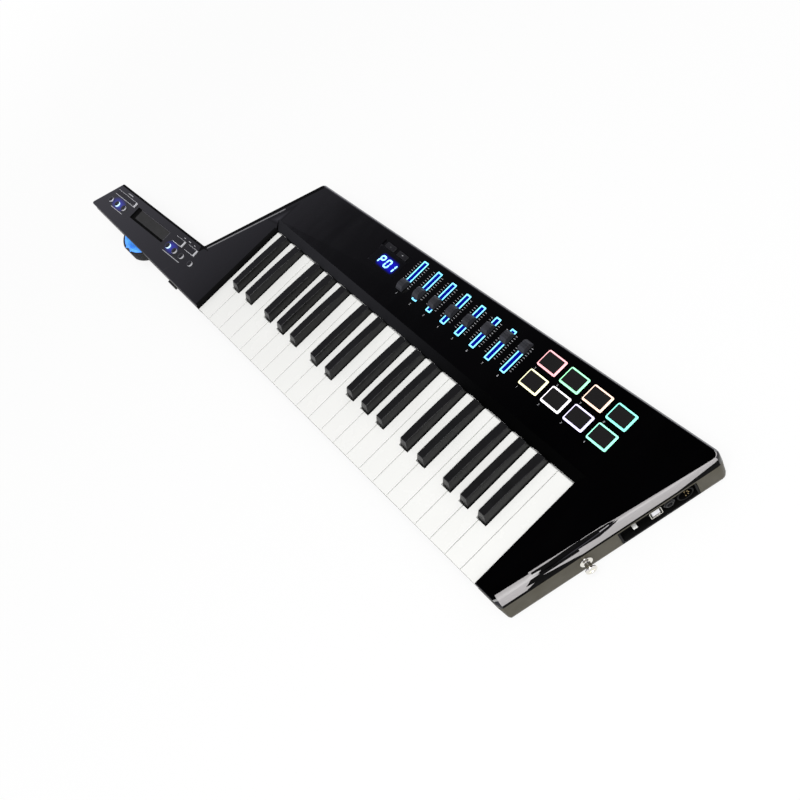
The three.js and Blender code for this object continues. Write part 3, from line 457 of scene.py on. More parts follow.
class Surface(Nodes):
    """A material being made: its shader and the coordinates that its patterns follow."""

    def __init__(self, name):
        self.material = bpy.data.materials.new(name)
        self.material.use_nodes = True
        super().__init__(self.material.node_tree)
        self.shader = self.tree.nodes["Principled BSDF"]
        self.coordinates = self.add("ShaderNodeTexCoord").outputs["Object"]

    def set(self, **values):
        for key, value in values.items():
            self.shader.inputs[key.replace("_", " ")].default_value = value

    def feed(self, value, name):
        self.link(value, self.shader.inputs[name])

    def noise(self, scale, detail, stretch=(1, 1, 1)):
        mapping = self.add("ShaderNodeMapping")
        mapping.inputs["Scale"].default_value = stretch
        self.link(self.coordinates, mapping.inputs["Vector"])
        noise = self.add("ShaderNodeTexNoise")
        noise.inputs["Scale"].default_value = scale
        noise.inputs["Detail"].default_value = detail
        self.link(mapping.outputs["Vector"], noise.inputs["Vector"])
        return noise.outputs["Fac"]

    def distance(self, centre, half):
        """The distance from a centre, where one is the edge of an ellipse with these halves."""
        mapping = self.add("ShaderNodeMapping", vector_type="TEXTURE")
        mapping.inputs["Location"].default_value = centre
        mapping.inputs["Scale"].default_value = Vector(half) * MM
        self.link(self.coordinates, mapping.inputs["Vector"])
        return self.vector("LENGTH", mapping.outputs["Vector"])["Value"]

    def blend(self, value, first, second, start=0.3, end=0.7):
        """One colour where a value is at the start and another where it is at the end."""
        ramp = self.add("ShaderNodeValToRGB")
        stops = ramp.color_ramp.elements
        for stop, position, colour in zip(stops, (start, end), (first, second)):
            stop.position = position
            stop.color = (*colour, 1)
        self.link(value, ramp.inputs["Fac"])
        return ramp.outputs["Color"]

    def bump(self, height, strength, distance):
        node = self.add("ShaderNodeBump")
        node.inputs["Strength"].default_value = strength
        node.inputs["Distance"].default_value = distance * MM
        self.link(height, node.inputs["Height"])
        self.feed(node.outputs["Normal"], "Normal")


def shades(colour, variation):
    darker = tuple(part * (1 - variation) for part in colour)
    lighter = tuple(min(1.0, part * (1 + variation)) for part in colour)
    return darker, lighter


def moulded(name, colour, variation, roughness, mottle, grain, depth, specular=0.5):
    """Moulded plastic or rubber: a mottled tint, uneven gloss and a fine grain."""
    surface = Surface(name)
    surface.feed(surface.blend(surface.noise(mottle, 4), *shades(colour, variation)), "Base Color")
    surface.feed(surface.spread(surface.noise(mottle * 3, 3), *roughness), "Roughness")
    surface.bump(surface.noise(grain, 2), 0.35, depth)
    surface.set(Specular_IOR_Level=specular)
    return surface.material


def polished_metal(name, colour, roughness):
    """Metal with faint clouds and scratches."""
    surface = Surface(name)
    surface.feed(surface.blend(surface.noise(220, 3), *shades(colour, 0.06)), "Base Color")
    surface.feed(surface.spread(surface.noise(900, 3), *roughness), "Roughness")
    surface.bump(surface.noise(700, 2), 0.05, 0.02)
    surface.set(Metallic=1.0)
    return surface.material


def glowing(name, core, edge, mottle=400):
    """A lit light guide: bright plastic whose light is a little uneven."""
    surface = Surface(name)
    surface.feed(surface.blend(surface.noise(mottle, 2), edge, core), "Emission Color")
    surface.set(Base_Color=(*edge, 1), Emission_Strength=1.0, Roughness=0.35)
    return surface.material


# The pools of light around the lit round buttons: the middle and the half sizes
LAMP_POOLS = (((-237.5, 22.5), (16.5, 9.0, 6.0)), ((-106.0, 29.2), (13.5, 9.0, 6.0)))


def panel_black():
    """High-gloss black plastic with faint polishing marks, lit blue around the lit buttons."""
    surface = Surface("panel_black")
    clouds = surface.blend(surface.noise(9, 3), (0.0003, 0.0003, 0.0004), (0.0007, 0.0006, 0.0008))
    surface.feed(clouds, "Base Color")
    smears = surface.noise(55, 4, (1, 0.25, 1))
    surface.feed(surface.spread(smears, 0.05, 0.13), "Roughness")
    surface.bump(surface.noise(130, 1), 0.04, 0.05)
    pools = [
        surface.spread(surface.distance(place(*middle, PANEL_TOP), half), 1.0, 0.0, 0.35, 1.0)
        for middle, half in LAMP_POOLS
    ]
    lit = surface.blend(surface.sum(*pools), (0, 0, 0), (0.012, 0.018, 0.30), 0.0, 1.0)
    surface.feed(lit, "Emission Color")
    surface.set(Emission_Strength=1.0, IOR=1.5)
    return surface.material


# Where the painted reflection on the ramp behind the keys starts to fade to black, and where it is black
RAMP_REFLECTION_FADE = (90, 400)


def ramp_satin():
    """The satin slope behind the keys, paler at the bass end with a painted reflection."""
    surface = Surface("ramp_satin")
    parts = surface.add("ShaderNodeSeparateXYZ")
    surface.link(surface.coordinates, parts.inputs["Vector"])
    ends = (place(x, 0, 0).x for x in RAMP_REFLECTION_FADE)
    # Painted reflection: paler towards the bass end, fading to black
    fade = surface.spread(parts.outputs["X"], 1.0, 0.0, *ends, "SMOOTHSTEP")
    colour = surface.blend(fade, (0.0004, 0.0004, 0.0004), (0.02, 0.02, 0.023), 0.0, 1.0)
    surface.feed(colour, "Base Color")
    surface.feed(surface.spread(surface.noise(40, 3), 0.6, 0.75), "Roughness")
    surface.bump(surface.noise(1500, 2), 0.3, 0.02)
    surface.set(Specular_IOR_Level=0.02)
    return surface.material


# The lit part of the display: its middle, its half sizes and how far its light reaches beyond
BACKLIGHT = ((162.0, 179.4), (11.0, 3.4, 4.0), 5.6)


def smoked_window():
    """Smoked acrylic with a blue backlight that fades away from the figures."""
    surface = Surface("smoked_window")
    middle, half, reach = BACKLIGHT
    away = surface.vector("SUBTRACT", surface.coordinates, place(*middle, PANEL_TOP))["Vector"]
    away = surface.vector("ABSOLUTE", away)["Vector"]
    away = surface.vector("SUBTRACT", away, Vector(half) * MM)["Vector"]
    away = surface.vector("MAXIMUM", away)["Vector"]
    distance = surface.vector("LENGTH", away)["Value"]
    fade = surface.spread(distance, 1.0, 0.0, 0.0, reach * MM, "SMOOTHSTEP")
    surface.feed(surface.blend(fade, (0, 0, 0), (0.003, 0.004, 0.52), 0.0, 1.0), "Emission Color")
    surface.set(Base_Color=(0.001, 0.001, 0.0015, 1), Emission_Strength=1.0, Roughness=0.1)
    surface.bump(surface.noise(90, 1), 0.02, 0.02)
    return surface.material


# Colour, its variation, the roughness from and to, the scales of mottle and grain, the grain's
# depth in millimetres, and the specular level where it isn't the shader's own
MOULDED = {
    "case_satin": ((0.058, 0.05, 0.029), 0.1, (0.34, 0.46), 14, 1500, 0.03, 0.2),
    # Painted reflection: the pale lilac grey of the right shoulder stands for its gloss showing the
    # studio's light
    "shoulder_satin": ((0.375, 0.36, 0.362), 0.035, (0.3, 0.4), 18, 1800, 0.01, 0.4),
    # Painted shade: a matte black for walls, gaps, pockets and bands that lie in shade
    "well_black": ((0.0022, 0.0022, 0.0022), 0.2, (0.8, 0.95), 30, 1500, 0.02, 0.08),
    # Painted highlight: a grey for the thin highlights along the case's rear and left edges
    "edge_grey": ((0.2, 0.2, 0.205), 0.05, (0.3, 0.4), 18, 1800, 0.01, 0.3),
    "key_white": ((0.88, 0.88, 0.86), 0.012, (0.2, 0.3), 20, 900, 0.008, 0.4),
    "key_black": ((0.003, 0.003, 0.0029), 0.15, (0.25, 0.36), 30, 1400, 0.02, 0.36),
    "key_black_top": ((0.004, 0.004, 0.0039), 0.15, (0.42, 0.56), 30, 1400, 0.03, 0.2),
    "chassis": ((0.012, 0.012, 0.013), 0.1, (0.5, 0.62), 16, 1100, 0.03),
    "cap_grey": ((0.021, 0.022, 0.026), 0.12, (0.38, 0.5), 60, 1800, 0.02, 0.45),
    "button_black": ((0.006, 0.006, 0.007), 0.1, (0.3, 0.4), 60, 1800, 0.015, 0.35),
    "pad_rubber": ((0.0065, 0.0058, 0.0056), 0.08, (0.66, 0.8), 45, 2200, 0.05, 0.18),
    "wheel_black": ((0.007, 0.007, 0.008), 0.1, (0.42, 0.56), 50, 2000, 0.03, 0.4),
    "socket_black": ((0.0015, 0.0015, 0.0015), 0.1, (0.5, 0.6), 40, 1500, 0.02, 0.12),
    "switch_silver": ((0.72, 0.72, 0.7), 0.05, (0.25, 0.35), 60, 1500, 0.01),
    "strip_film": ((0.022, 0.022, 0.02), 0.08, (0.55, 0.68), 40, 2400, 0.03, 0.35),
    # Grey for the touch strip's rim, whose bars are a painted highlight, and for the socket cover strip
    "strip_rim": ((0.085, 0.08, 0.092), 0.06, (0.35, 0.45), 60, 1800, 0.01),
    "print_grey": ((0.42, 0.42, 0.44), 0.08, (0.5, 0.6), 300, 2500, 0.01),
    "rim_white": ((0.82, 0.82, 0.86), 0.03, (0.3, 0.4), 90, 1500, 0.01),
}
# Colour, and the roughness from and to
METALS = {
    "chrome": ((0.78, 0.76, 0.7), (0.08, 0.16)),
    "contact_gold": ((0.72, 0.55, 0.28), (0.2, 0.3)),
    "screw_steel": ((0.12, 0.12, 0.12), (0.3, 0.45)),
}
# The colour of the light, its darker patches, and the scale of the patches where it differs
LIGHTS = {
    "light_cyan": ((0.36, 0.86, 1.0), (0.16, 0.68, 1.0)),
    "light_deep_blue": ((0.0, 0.006, 0.30), (0.0, 0.001, 0.17)),
    "light_digit": ((0.55, 0.95, 1.0), (0.25, 0.7, 1.0)),
    "light_lamp": ((0.75, 0.95, 1.0), (0.5, 0.8, 1.0)),
    "light_wheel": ((0.1, 0.38, 0.88), (0.045, 0.18, 0.56), 160),
}
# The pads' lights in the pads' order, from the left of the front row to the right of the rear row
PAD_LIGHTS = {
    "light_pale_yellow": (1.0, 0.97, 0.62),
    "light_white": (1.0, 0.97, 1.0),
    "light_lavender": (0.78, 0.74, 1.0),
    "light_aquamarine": (0.36, 1.0, 0.72),
    "light_pink": (1.0, 0.5, 0.53),
    "light_green": (0.4, 1.0, 0.58),
    "light_peach": (1.0, 0.72, 0.58),
    "light_cyan_green": (0.3, 1.0, 0.8),
}
PAD_LIGHT_PATCH = 0.82
LIGHTS.update({
    name: (colour, tuple(part * PAD_LIGHT_PATCH for part in colour))
    for name, colour in PAD_LIGHTS.items()
})
SPECIAL = {"panel_black": panel_black, "ramp_satin": ramp_satin, "smoked_window": smoked_window}

finishes = {}


def finish(name):
    """A finish by name, made when it is first asked for."""
    if name not in finishes:
        for make, table in ((moulded, MOULDED), (polished_metal, METALS), (glowing, LIGHTS)):
            if name in table:
                finishes[name] = make(name, *table[name])
        if name in SPECIAL:
            finishes[name] = SPECIAL[name]()
    return finishes[name]


# Settings that a user would change


class StageSettings(bpy.types.PropertyGroup):
    floor_colour: FloatVectorProperty(
        name="Floor colour", description="Colour of the studio floor",
        subtype="COLOR", default=(0.9, 0.9, 0.9),
    )
    floor_size: FloatProperty(
        name="Floor size", description="Side of the floor", unit="LENGTH", default=9.0
    )
    key_power: FloatProperty(
        name="Key lamp", description="Power of the large soft lamp", subtype="POWER", default=78.0
    )
    fill: FloatProperty(
        name="Fill", description="Strength of the even light from all around", default=0.45
    )


class CaseSettings(bpy.types.PropertyGroup):
    edge: FloatProperty(
        name="Edge", description="Rounding of the case's edges, in millimetres", default=0.35
    )
    screw_radius: FloatProperty(
        name="Screw", description="Radius of the screw heads, in millimetres", default=2.8
    )


class KeySettings(bpy.types.PropertyGroup):
    white_edge: FloatProperty(
        name="White key edge", description="Rounding of the white keys, in millimetres", default=0.25
    )
    rear_edge: FloatProperty(
        name="White key rear", description="Rounding of the white keys' rear, in millimetres", default=2.2
    )
    black_edge: FloatProperty(
        name="Black key edge", description="Rounding of the black keys, in millimetres", default=0.9
    )


class FaderSettings(bpy.types.PropertyGroup):
    frame_width: FloatProperty(
        name="Light frame", description="Width of the light frame, in millimetres", default=7.5
    )
    line: FloatProperty(
        name="Light line", description="Width of the lit line, in millimetres", default=1.5
    )
    ticks: IntProperty(name="Ticks", description="Printed ticks on each side", default=11, min=2)


class PadSettings(bpy.types.PropertyGroup):
    ring_line: FloatProperty(
        name="Ring", description="Width of the light ring, in millimetres", default=1.25
    )
    ring_rise: FloatProperty(
        name="Ring rise", description="Height of the ring over its ledge, in millimetres", default=0.35
    )


class LampSettings(bpy.types.PropertyGroup):
    lamp_radius: FloatProperty(
        name="Lamp", description="Radius of the round neck buttons, in millimetres", default=3.6
    )
    lamp_rise: FloatProperty(
        name="Lamp rise", description="Height of the neck buttons, in millimetres", default=2.2
    )


class DisplaySettings(bpy.types.PropertyGroup):
    figures: StringProperty(
        name="Figures", description="What the display shows", default="P01"
    )
    figure_height: FloatProperty(
        name="Figure height", description="Height of a figure, in millimetres", default=9.6
    )


class KeyboardSettings(bpy.types.PropertyGroup):
    stage: PointerProperty(type=StageSettings)
    case: PointerProperty(type=CaseSettings)
    keys: PointerProperty(type=KeySettings)
    faders: PointerProperty(type=FaderSettings)
    pads: PointerProperty(type=PadSettings)
    lamps: PointerProperty(type=LampSettings)
    display: PointerProperty(type=DisplaySettings)


# Stage

# How bright a mirror sees the studio at each height: the share up to the zenith, and the level
GLOSS_LEVELS = (
    (0.0, 1.0), (0.55, 0.95), (0.6, 0.74), (0.635, 0.56), (0.66, 0.48), (0.672, 0.32),
    (0.684, 0.165), (0.712, 0.13), (0.75, 0.06), (0.8, 0.035), (0.84, 0.004),
)
# Where the floor starts to turn plain white, where it is plain white, and how white it starts
SHADOW_REACH = (0.5, 1.1)
FLOOR_WHITENESS = 0.86
FLOOR_LEVEL = -0.0006
CAMERA_LENS = 56.21
CAMERA_PLACE = (1083.555, -11.11, 995.316)
CAMERA_TURN = (31.3, 23.199, 50.4952)
LAMP_TOWARDS = (0.46, -0.12, 0.88)
LAMP_DISTANCE = 3.2
LAMP_SIZE = 1.9
LAMP_TARGET = (250, 100, 0)


def background_shares(nodes):
    """One for a ray from the camera, and one for a ray from a mirror or glass."""
    path = nodes.add("ShaderNodeLightPath").outputs
    return path["Is Camera Ray"], nodes.sum(path["Is Glossy Ray"], path["Is Transmission Ray"])


def floor_material(colour):
    """A matte floor that keeps the shadow, plain white for mirrors and far from the keyboard."""
    material = bpy.data.materials.new("studio_floor")
    material.use_nodes = True
    nodes = Nodes(material.node_tree)
    nodes.tree.nodes.clear()
    output = nodes.add("ShaderNodeOutputMaterial")
    matte = nodes.plain("ShaderNodeBsdfDiffuse", colour)
    white = nodes.plain("ShaderNodeEmission", WHITE)
    spot = nodes.add("ShaderNodeTexCoord").outputs["Object"]
    distance = nodes.vector("LENGTH", spot)["Value"]
    whiteness = nodes.spread(distance, FLOOR_WHITENESS, 1.0, *SHADOW_REACH, "SMOOTHSTEP")
    camera, mirrors = background_shares(nodes)
    share = nodes.add("ShaderNodeMath", operation="MULTIPLY_ADD", use_clamp=True)
    for socket, source in zip(share.inputs, (camera, whiteness, mirrors)):
        nodes.link(source, socket)
    seen = nodes.mix(share.outputs["Value"], matte.outputs["BSDF"], white.outputs["Emission"])
    nodes.link(seen, output.inputs["Surface"])
    return material


def studio_world(fill):
    """White for the camera, even light for the object, and a bright band low down for its gloss."""
    world = bpy.data.worlds.new("studio")
    bpy.context.scene.world = world
    world.use_nodes = True
    nodes = Nodes(world.node_tree)
    nodes.tree.nodes.clear()
    output = nodes.add("ShaderNodeOutputWorld")
    even = nodes.plain("ShaderNodeBackground", WHITE)
    even.inputs["Strength"].default_value = fill
    white = nodes.plain("ShaderNodeBackground", WHITE)
    banded = nodes.add("ShaderNodeBackground")
    direction = nodes.add("ShaderNodeTexCoord")
    parts = nodes.add("ShaderNodeSeparateXYZ")
    nodes.link(direction.outputs["Generated"], parts.inputs["Vector"])
    ramp = nodes.add("ShaderNodeValToRGB")
    stops = ramp.color_ramp.elements
    while len(stops) < len(GLOSS_LEVELS):
        stops.new(0.5)
    for stop, (height, level) in zip(stops, GLOSS_LEVELS):
        stop.position = height
        stop.color = (level, level * 0.98, level * 1.15, 1)
    nodes.link(parts.outputs["Z"], ramp.inputs["Fac"])
    nodes.link(ramp.outputs["Color"], banded.inputs["Color"])
    camera, mirrors = background_shares(nodes)
    gloss = nodes.mix(mirrors, even.outputs["Background"], banded.outputs["Background"])
    seen = nodes.mix(camera, gloss, white.outputs["Background"])
    nodes.link(seen, output.inputs["Surface"])


def soft_lamp(name, power):
    """A round soft lamp that looks at the middle of the keyboard and isn't seen itself."""
    lamp = bpy.data.lights.new(name, "AREA")
    lamp.shape = "DISK"
    lamp.size = LAMP_SIZE
    lamp.energy = power
    holder = bpy.data.objects.new(name, lamp)
    bpy.context.scene.collection.objects.link(holder)
    way = Vector(LAMP_TOWARDS).normalized()
    holder.location = place(*LAMP_TARGET) + way * LAMP_DISTANCE
    holder.rotation_euler = (-way).to_track_quat("-Z", "Y").to_euler()
    holder.visible_camera = False


def set_camera():
    """Puts the camera where it sees the keyboard from the photograph's angle."""
    lens = bpy.data.cameras.new("camera")
    lens.sensor_width = 36.0
    lens.lens = CAMERA_LENS
    camera = bpy.data.objects.new("camera", lens)
    bpy.context.scene.collection.objects.link(camera)
    camera.location = place(*CAMERA_PLACE)
    camera.rotation_euler = Euler([math.radians(angle) for angle in CAMERA_TURN], "XYZ")
    bpy.context.scene.camera = camera


class KEYBOARD_OT_stage(bpy.types.Operator):
    """Lays the floor, hangs the lamp and sets up the camera"""

    bl_idname = "keyboard.stage"
    bl_label = "Stage"

    def execute(self, context):
        settings = context.scene.keyboard_dressing.stage
        deselect()
        bpy.ops.mesh.primitive_plane_add(size=settings.floor_size, location=(0, 0, FLOOR_LEVEL))
        floor = started("studio_floor")
        floor.data.materials.append(floor_material(settings.floor_colour))
        studio_world(settings.fill)
        soft_lamp("key_lamp", settings.key_power)
        context.scene.view_settings.view_transform = "Standard"
        set_camera()
        return {"FINISHED"}


# Case

WELL_SIDES = (-0.5, 517.5)
WELL_REAR = 129.8
WELL_STRIP = -3.8
RAMP = (0.9, 4.9)
RAMP_REAR = 140.2
STRIP_FLOOR = 3.4
STRIP_SIDES = (-206, -125)
STRIP_REACH = (20, 42)
SEAM = -5.9
END_LENGTH = 240.0
OPEN_TOP = 6.0
# The pale parts of the right shoulder, a painted reflection: where each starts and ends along it,
# and the heights of its lower and its upper side at both
PAINTED_REFLECTION_PARTS = (
    (3.0, 30.5, (-2.7, -2.8), (OPEN_TOP, OPEN_TOP)),
    (30.5, 37.0, (0.6, 3.0), (OPEN_TOP, OPEN_TOP)),
    (37.0, 41.0, (3.0, 3.2), (OPEN_TOP, OPEN_TOP)),
    (41.0, 50.0, (3.2, 3.7), (4.6, 3.7)),
    (30.5, 39.0, (-2.3, -0.2), (0.6, -0.2)),
    (50.0, 80.0, (1.3, -1.5), (1.5, 1.4)),
    (80.0, 88.0, (-1.5, -2.95), (1.4, 1.4)),
    (88.0, 110.0, (-2.95, -3.0), (3.0, 2.7)),
    (110.0, 132.0, (-3.0, -3.05), (2.7, 4.9)),
    (94.0, 132.0, (4.5, 4.9), (OPEN_TOP, OPEN_TOP)),
    (132.0, 188.0, (-3.05, -3.2), (OPEN_TOP, OPEN_TOP)),
    (188.0, 238.0, (-3.2, 3.05), (OPEN_TOP, OPEN_TOP)),
)
# Painted shade on the lower case's right end: black above this height, and above the recess's top between
# its sides
SHADOW_LINE = -7.7
RECESS_SIDES = (123.8, 206.6)
RECESS_TOP = -8.5


class TopEdge:
    """A straight rear or left edge of the outline, from left to right, seen from above."""

    def __init__(self, start, end):
        self.start = Vector(start)
        self.way = Vector(end) - self.start
        self.length = self.way.length
        self.way.normalize()
        self.inward = Vector((self.way.y, -self.way.x))

    def spot(self, share, inset):
        return self.start + self.way * self.length * share + self.inward * inset

    def read(self, point):
        """How far along the edge, as a share, and how far inside it a point of the drawing lies."""
        away = Vector(point[:2]) - self.start
        return away.dot(self.way) / self.length, away.dot(self.inward)


NECK_REAR = TopEdge((-262.0, 46.0), (-70.0, 57.5))
LEFT_SIDE = TopEdge((-70.0, 57.5), (-1.66, 206.4))
REAR_SIDE = TopEdge((-1.66, 206.4), (604.9, 234.0))
RIGHT_SIDE = TopEdge((605.9, 237.4), (549.5, 0.0))
# Painted strips of shade, highlight and reflection on the top face along its edges: the edge, the shares
# where the strip starts and ends, how far inside the edge it starts at both ends, how far inside it ends,
# and its finish
PAINTED_TOP_STRIPS = (
    (REAR_SIDE, (0.03, 0.985), (0.0, 0.0), (1.0, 3.0), "edge_grey"),
    (NECK_REAR, (-0.05, 1.05), (0.0, 0.0), (3.0, 3.0), "well_black"),
    (LEFT_SIDE, (-0.05, 1.0), (0.0, 0.0), (7.5, 9.0), "well_black"),
    (LEFT_SIDE, (0.03, 0.68), (8.2, 9.7), (9.9, 11.4), "edge_grey"),
    (RIGHT_SIDE, (0.066, 0.47), (2.5, 5.8), (3.3, 7.5), "shoulder_satin"),
    (RIGHT_SIDE, (0.47, 0.62), (5.8, 6.8), (7.5, 8.3), "shoulder_satin"),
    (RIGHT_SIDE, (0.62, 0.746), (8.3, 8.7), (9.2, 9.8), "shoulder_satin"),
    (RIGHT_SIDE, (0.746, 0.84), (8.4, 8.4), (10.1, 10.4), "shoulder_satin"),
)
CASE_FINISHES = ("panel_black", "shoulder_satin", "well_black", "ramp_satin", "edge_grey")


def between(ends, share):
    """The value that lies a share of the way from one end to the other."""
    return ends[0] + (ends[1] - ends[0]) * share


def on_pale_part(along, height):
    """Whether a point of the right shoulder lies in one of its pale parts of painted reflection."""
    for start, end, lower, upper in PAINTED_REFLECTION_PARTS:
        share = (along - start) / (end - start)
        if 0 < share < 1 and between(lower, share) < height < between(upper, share):
            return True
    return False


def shoulder_finish(centre, normal):
    """The finish of a face of the right shoulder: its painted reflection where pale, painted shade
    elsewhere on it, or nothing for a face elsewhere.
    """
    out, along, height = end_point(centre)
    faces_out = normal.dot(END_OUT) >= 0.05 and abs(normal.dot(END_ALONG)) <= 0.25
    if not (faces_out and -10.5 < out < 0.1 and 3.0 < along < 238.0):
        return None
    return "shoulder_satin" if on_pale_part(along, height) else "well_black"


def strip_finish(x, y, flat):
    """The painted shade, highlight or reflection of a strip of the top face at a point, or nothing
    outside the strips.
    """
    for edge, shares, outer, inner, name in PAINTED_TOP_STRIPS:
        share, inset = edge.read((x, y))
        part = (share - shares[0]) / (shares[1] - shares[0])
        near, far = between(outer, part), between(inner, part)
        if 0 < part < 1 and near - 0.3 < inset < far and (flat or near <= 0):
            return name
    return None


def case_finish(centre, normal):
    """The finish of a face of the upper case, with its painted reflections, painted shade and painted
    highlights.
    """
    x, y, z = drawn(centre)
    in_well = WELL_SIDES[0] < x < WELL_SIDES[1]
    over_strip = STRIP_SIDES[0] < x < STRIP_SIDES[1]
    # The ramp's satin finish carries a painted reflection
    if in_well and WELL_REAR < y < RAMP_REAR and RAMP[0] < z < RAMP[1] and normal.z > 0.1:
        return "ramp_satin"
    # Painted shade: the key well's side walls and the walls of the touch strip's pocket are black
    if z > SEAM and abs(normal.z) < 0.1:
        on_side = min(abs(x - side) for side in WELL_SIDES) < 0.1 and y < WELL_REAR + 0.1
        in_reach = STRIP_REACH[0] < y < STRIP_REACH[1] and STRIP_FLOOR < z < PANEL_TOP
        if on_side or (over_strip and in_reach):
            return "well_black"
    # Painted shade: the floor of the touch strip's pocket and the narrow top left of the first key are
    # black
    if normal.z > 0.9:
        on_floor = over_strip and abs(z - STRIP_FLOOR) < 0.05
        beside = z > PANEL_TOP - 0.05 and WELL_STRIP < x < WELL_SIDES[0] and y < WELL_REAR
        if on_floor or beside:
            return "well_black"
    # The right shoulder's painted reflection and painted shade, then the painted strips along the top's
    # edges
    found = shoulder_finish(centre, normal)
    if not found and z > SEAM and normal.z > 0.02:
        found = strip_finish(x, y, normal.z > 0.99)
    return found or "panel_black"


def end_cut(line):
    """The plane through a line on the right end that runs straight into the case."""
    first, second = (end_matrix(0, *spot).translation for spot in line)
    return first, (second - first).cross(END_OUT).normalized()


def upright_cut(first, second):
    """The upright plane through two points of the drawing."""
    way = second - first
    return place(first.x, first.y, 0), Vector((-way.y, way.x, 0)).normalized()


def on_top(centre, normal):
    return normal.z > 0.99 and drawn(centre).z > PANEL_TOP - 0.05


def on_shoulder_between(start, end):
    """A test for the faces of the right shoulder between two distances along it."""

    def test(centre, normal):
        along = end_point(centre).y
        return start < along < end and shoulder_finish(centre, normal) is not None

    return test


def near_edge(edge):
    """A test for the top's narrow faces along an edge."""
    return lambda centre, normal: on_top(centre, normal) and 0 < edge.read(drawn(centre))[1] < 12


def case_cuts():
    """The cuts that part the upper case's faces where its finish changes."""
    yield place(WELL_STRIP, 0, 0), (1, 0, 0), on_top
    yield place(0, WELL_REAR, 0), (0, 1, 0), on_top
    everywhere = on_shoulder_between(0, END_LENGTH)
    for distance in sorted({spot for part in PAINTED_REFLECTION_PARTS for spot in part[:2]}):
        yield end_matrix(0, distance, 0).translation, END_ALONG, everywhere
    for start, end, lower, upper in PAINTED_REFLECTION_PARTS:
        for heights in (lower, upper):
            if heights[0] < PANEL_TOP:
                line = ((start, heights[0]), (end, heights[1]))
                yield *end_cut(line), on_shoulder_between(start, end)
    for edge, shares, outer, inner, name in PAINTED_TOP_STRIPS:
        for insets in (inner, outer):
            if insets[0] > 0:
                spots = [edge.spot(share, inset) for share, inset in zip(shares, insets)]
                yield *upright_cut(*spots), on_top
        for share in shares:
            if 0 < share < 1:
                yield *upright_cut(edge.spot(share, 0), edge.spot(share, 1)), near_edge(edge)


def part_faces(piece, cuts):
    """Parts the faces that pass each cut's test along its plane."""
    for point, normal, test in cuts:
        with editing(piece):
            if pick_faces(piece, test):
                bpy.ops.mesh.bisect(plane_co=point, plane_no=normal)


def paint(piece, names, choice):
    """Gives each face of a piece the finish that a choice names for it."""
    for name in names:
        piece.data.materials.append(finish(name))
    for face in piece.data.polygons:
        face.material_index = names.index(choice(face.center / MM, face.normal))


def upper_case(edge):
    """The glossy upper case, with its pale shoulder of painted reflection, its satin ramp, painted shade,
    and the painted highlight and shade lines along its edges.
    """
    piece = merged_copy("upper_case")
    part_faces(piece, case_cuts())
    paint(piece, CASE_FINISHES, case_finish)
    ease(piece, edge, 2, 40, 38)
    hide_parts("upper_case")
    settle(piece, "case", "case_gloss_black")


def on_lower_end(centre, normal):
    """Whether a face of the lower case lies on the right end."""
    return normal.dot(END_OUT) > 0.9 and end_point(centre).x > -0.5


def lower_finish(centre, normal):
    """The finish of a face of the lower case, with painted shade high on the right end and beside the
    recess.
    """
    out, distance, height = end_point(centre)
    beside_recess = RECESS_SIDES[0] < distance < RECESS_SIDES[1] and height > RECESS_TOP
    shadowed = height > SHADOW_LINE or beside_recess
    return "well_black" if shadowed and on_lower_end(centre, normal) else "case_satin"


def lower_case(edge):
    """The satin lower case, with painted shade in black where it meets the shoulder on the right end."""
    piece = merged_copy("lower_case")
    sides = [(end_matrix(0, side, 0).translation, END_ALONG) for side in RECESS_SIDES]
    planes = [(place(0, 0, SHADOW_LINE), (0, 0, 1)), *sides]
    part_faces(piece, [(*plane, on_lower_end) for plane in planes])
    paint(piece, ("case_satin", "well_black"), lower_finish)
    ease(piece, edge, 2, 40, 38)
    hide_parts("lower_case")
    settle(piece, "case", "case_satin_grey")


class KEYBOARD_OT_case(bpy.types.Operator):
    """Finishes the glossy upper case, the satin lower case and the chassis under the keys"""

    bl_idname = "keyboard.case"
    bl_label = "Case"

    def execute(self, context):
        edge = context.scene.keyboard_dressing.case.edge
        upper_case(edge)
        lower_case(edge)
        refined("key_frame", "chassis_plastic", "chassis", edge)
        return {"FINISHED"}


SCREW_PLACES = {
    -17.5: ((-262.0, 22.0), (-112.0, 24.0)),
    -24.0: (
        (-39.8, 63.0), (5.2, 192.2), (140.1, 196.7), (299.9, 201.4), (380.0, 205.4),
        (574.9, 215.0), (536.1, 40.2),
    ),
}
SCREW_HEIGHT = 1.2
SCREW_DOME = ((0.5, 0.82), (0.25, 0.7))
SCREW_EDGE = 0.15
SCREW_CROSS_SHARES = (1.1, 0.26)
SCREW_CROSS_DEPTH = 1.6
SCREW_CROSS_PLACE = 2.0
GRIP_WIDTH = 20.0
GRIP_DEPTH = 6.0
GRIP_MARGIN = 4.0
GRIP_RIBS = 3
GRIP_RIB = (1.0, GRIP_WIDTH - 2.0, 0.7)
GRIP_RIB_EDGE = 0.25
GRIP_SINK = 0.1


def cross_recess_screw(name, radius):
    """A pan head, facing down, with a cross cut into it."""
    head = start_drum(name, radius, SCREW_HEIGHT, 32)
    with editing(head):
        pick_faces(head, top_face(head))
        for rise, scale in SCREW_DOME:
            grow(rise, scale)
    soften(head, SCREW_EDGE)
    length, width = (radius * share for share in SCREW_CROSS_SHARES)
    cut_cross(head, length, width, SCREW_CROSS_DEPTH, SCREW_CROSS_PLACE)
    smooth(head, 35)
    return moved(head, Matrix.Rotation(math.pi, 4, "X"))


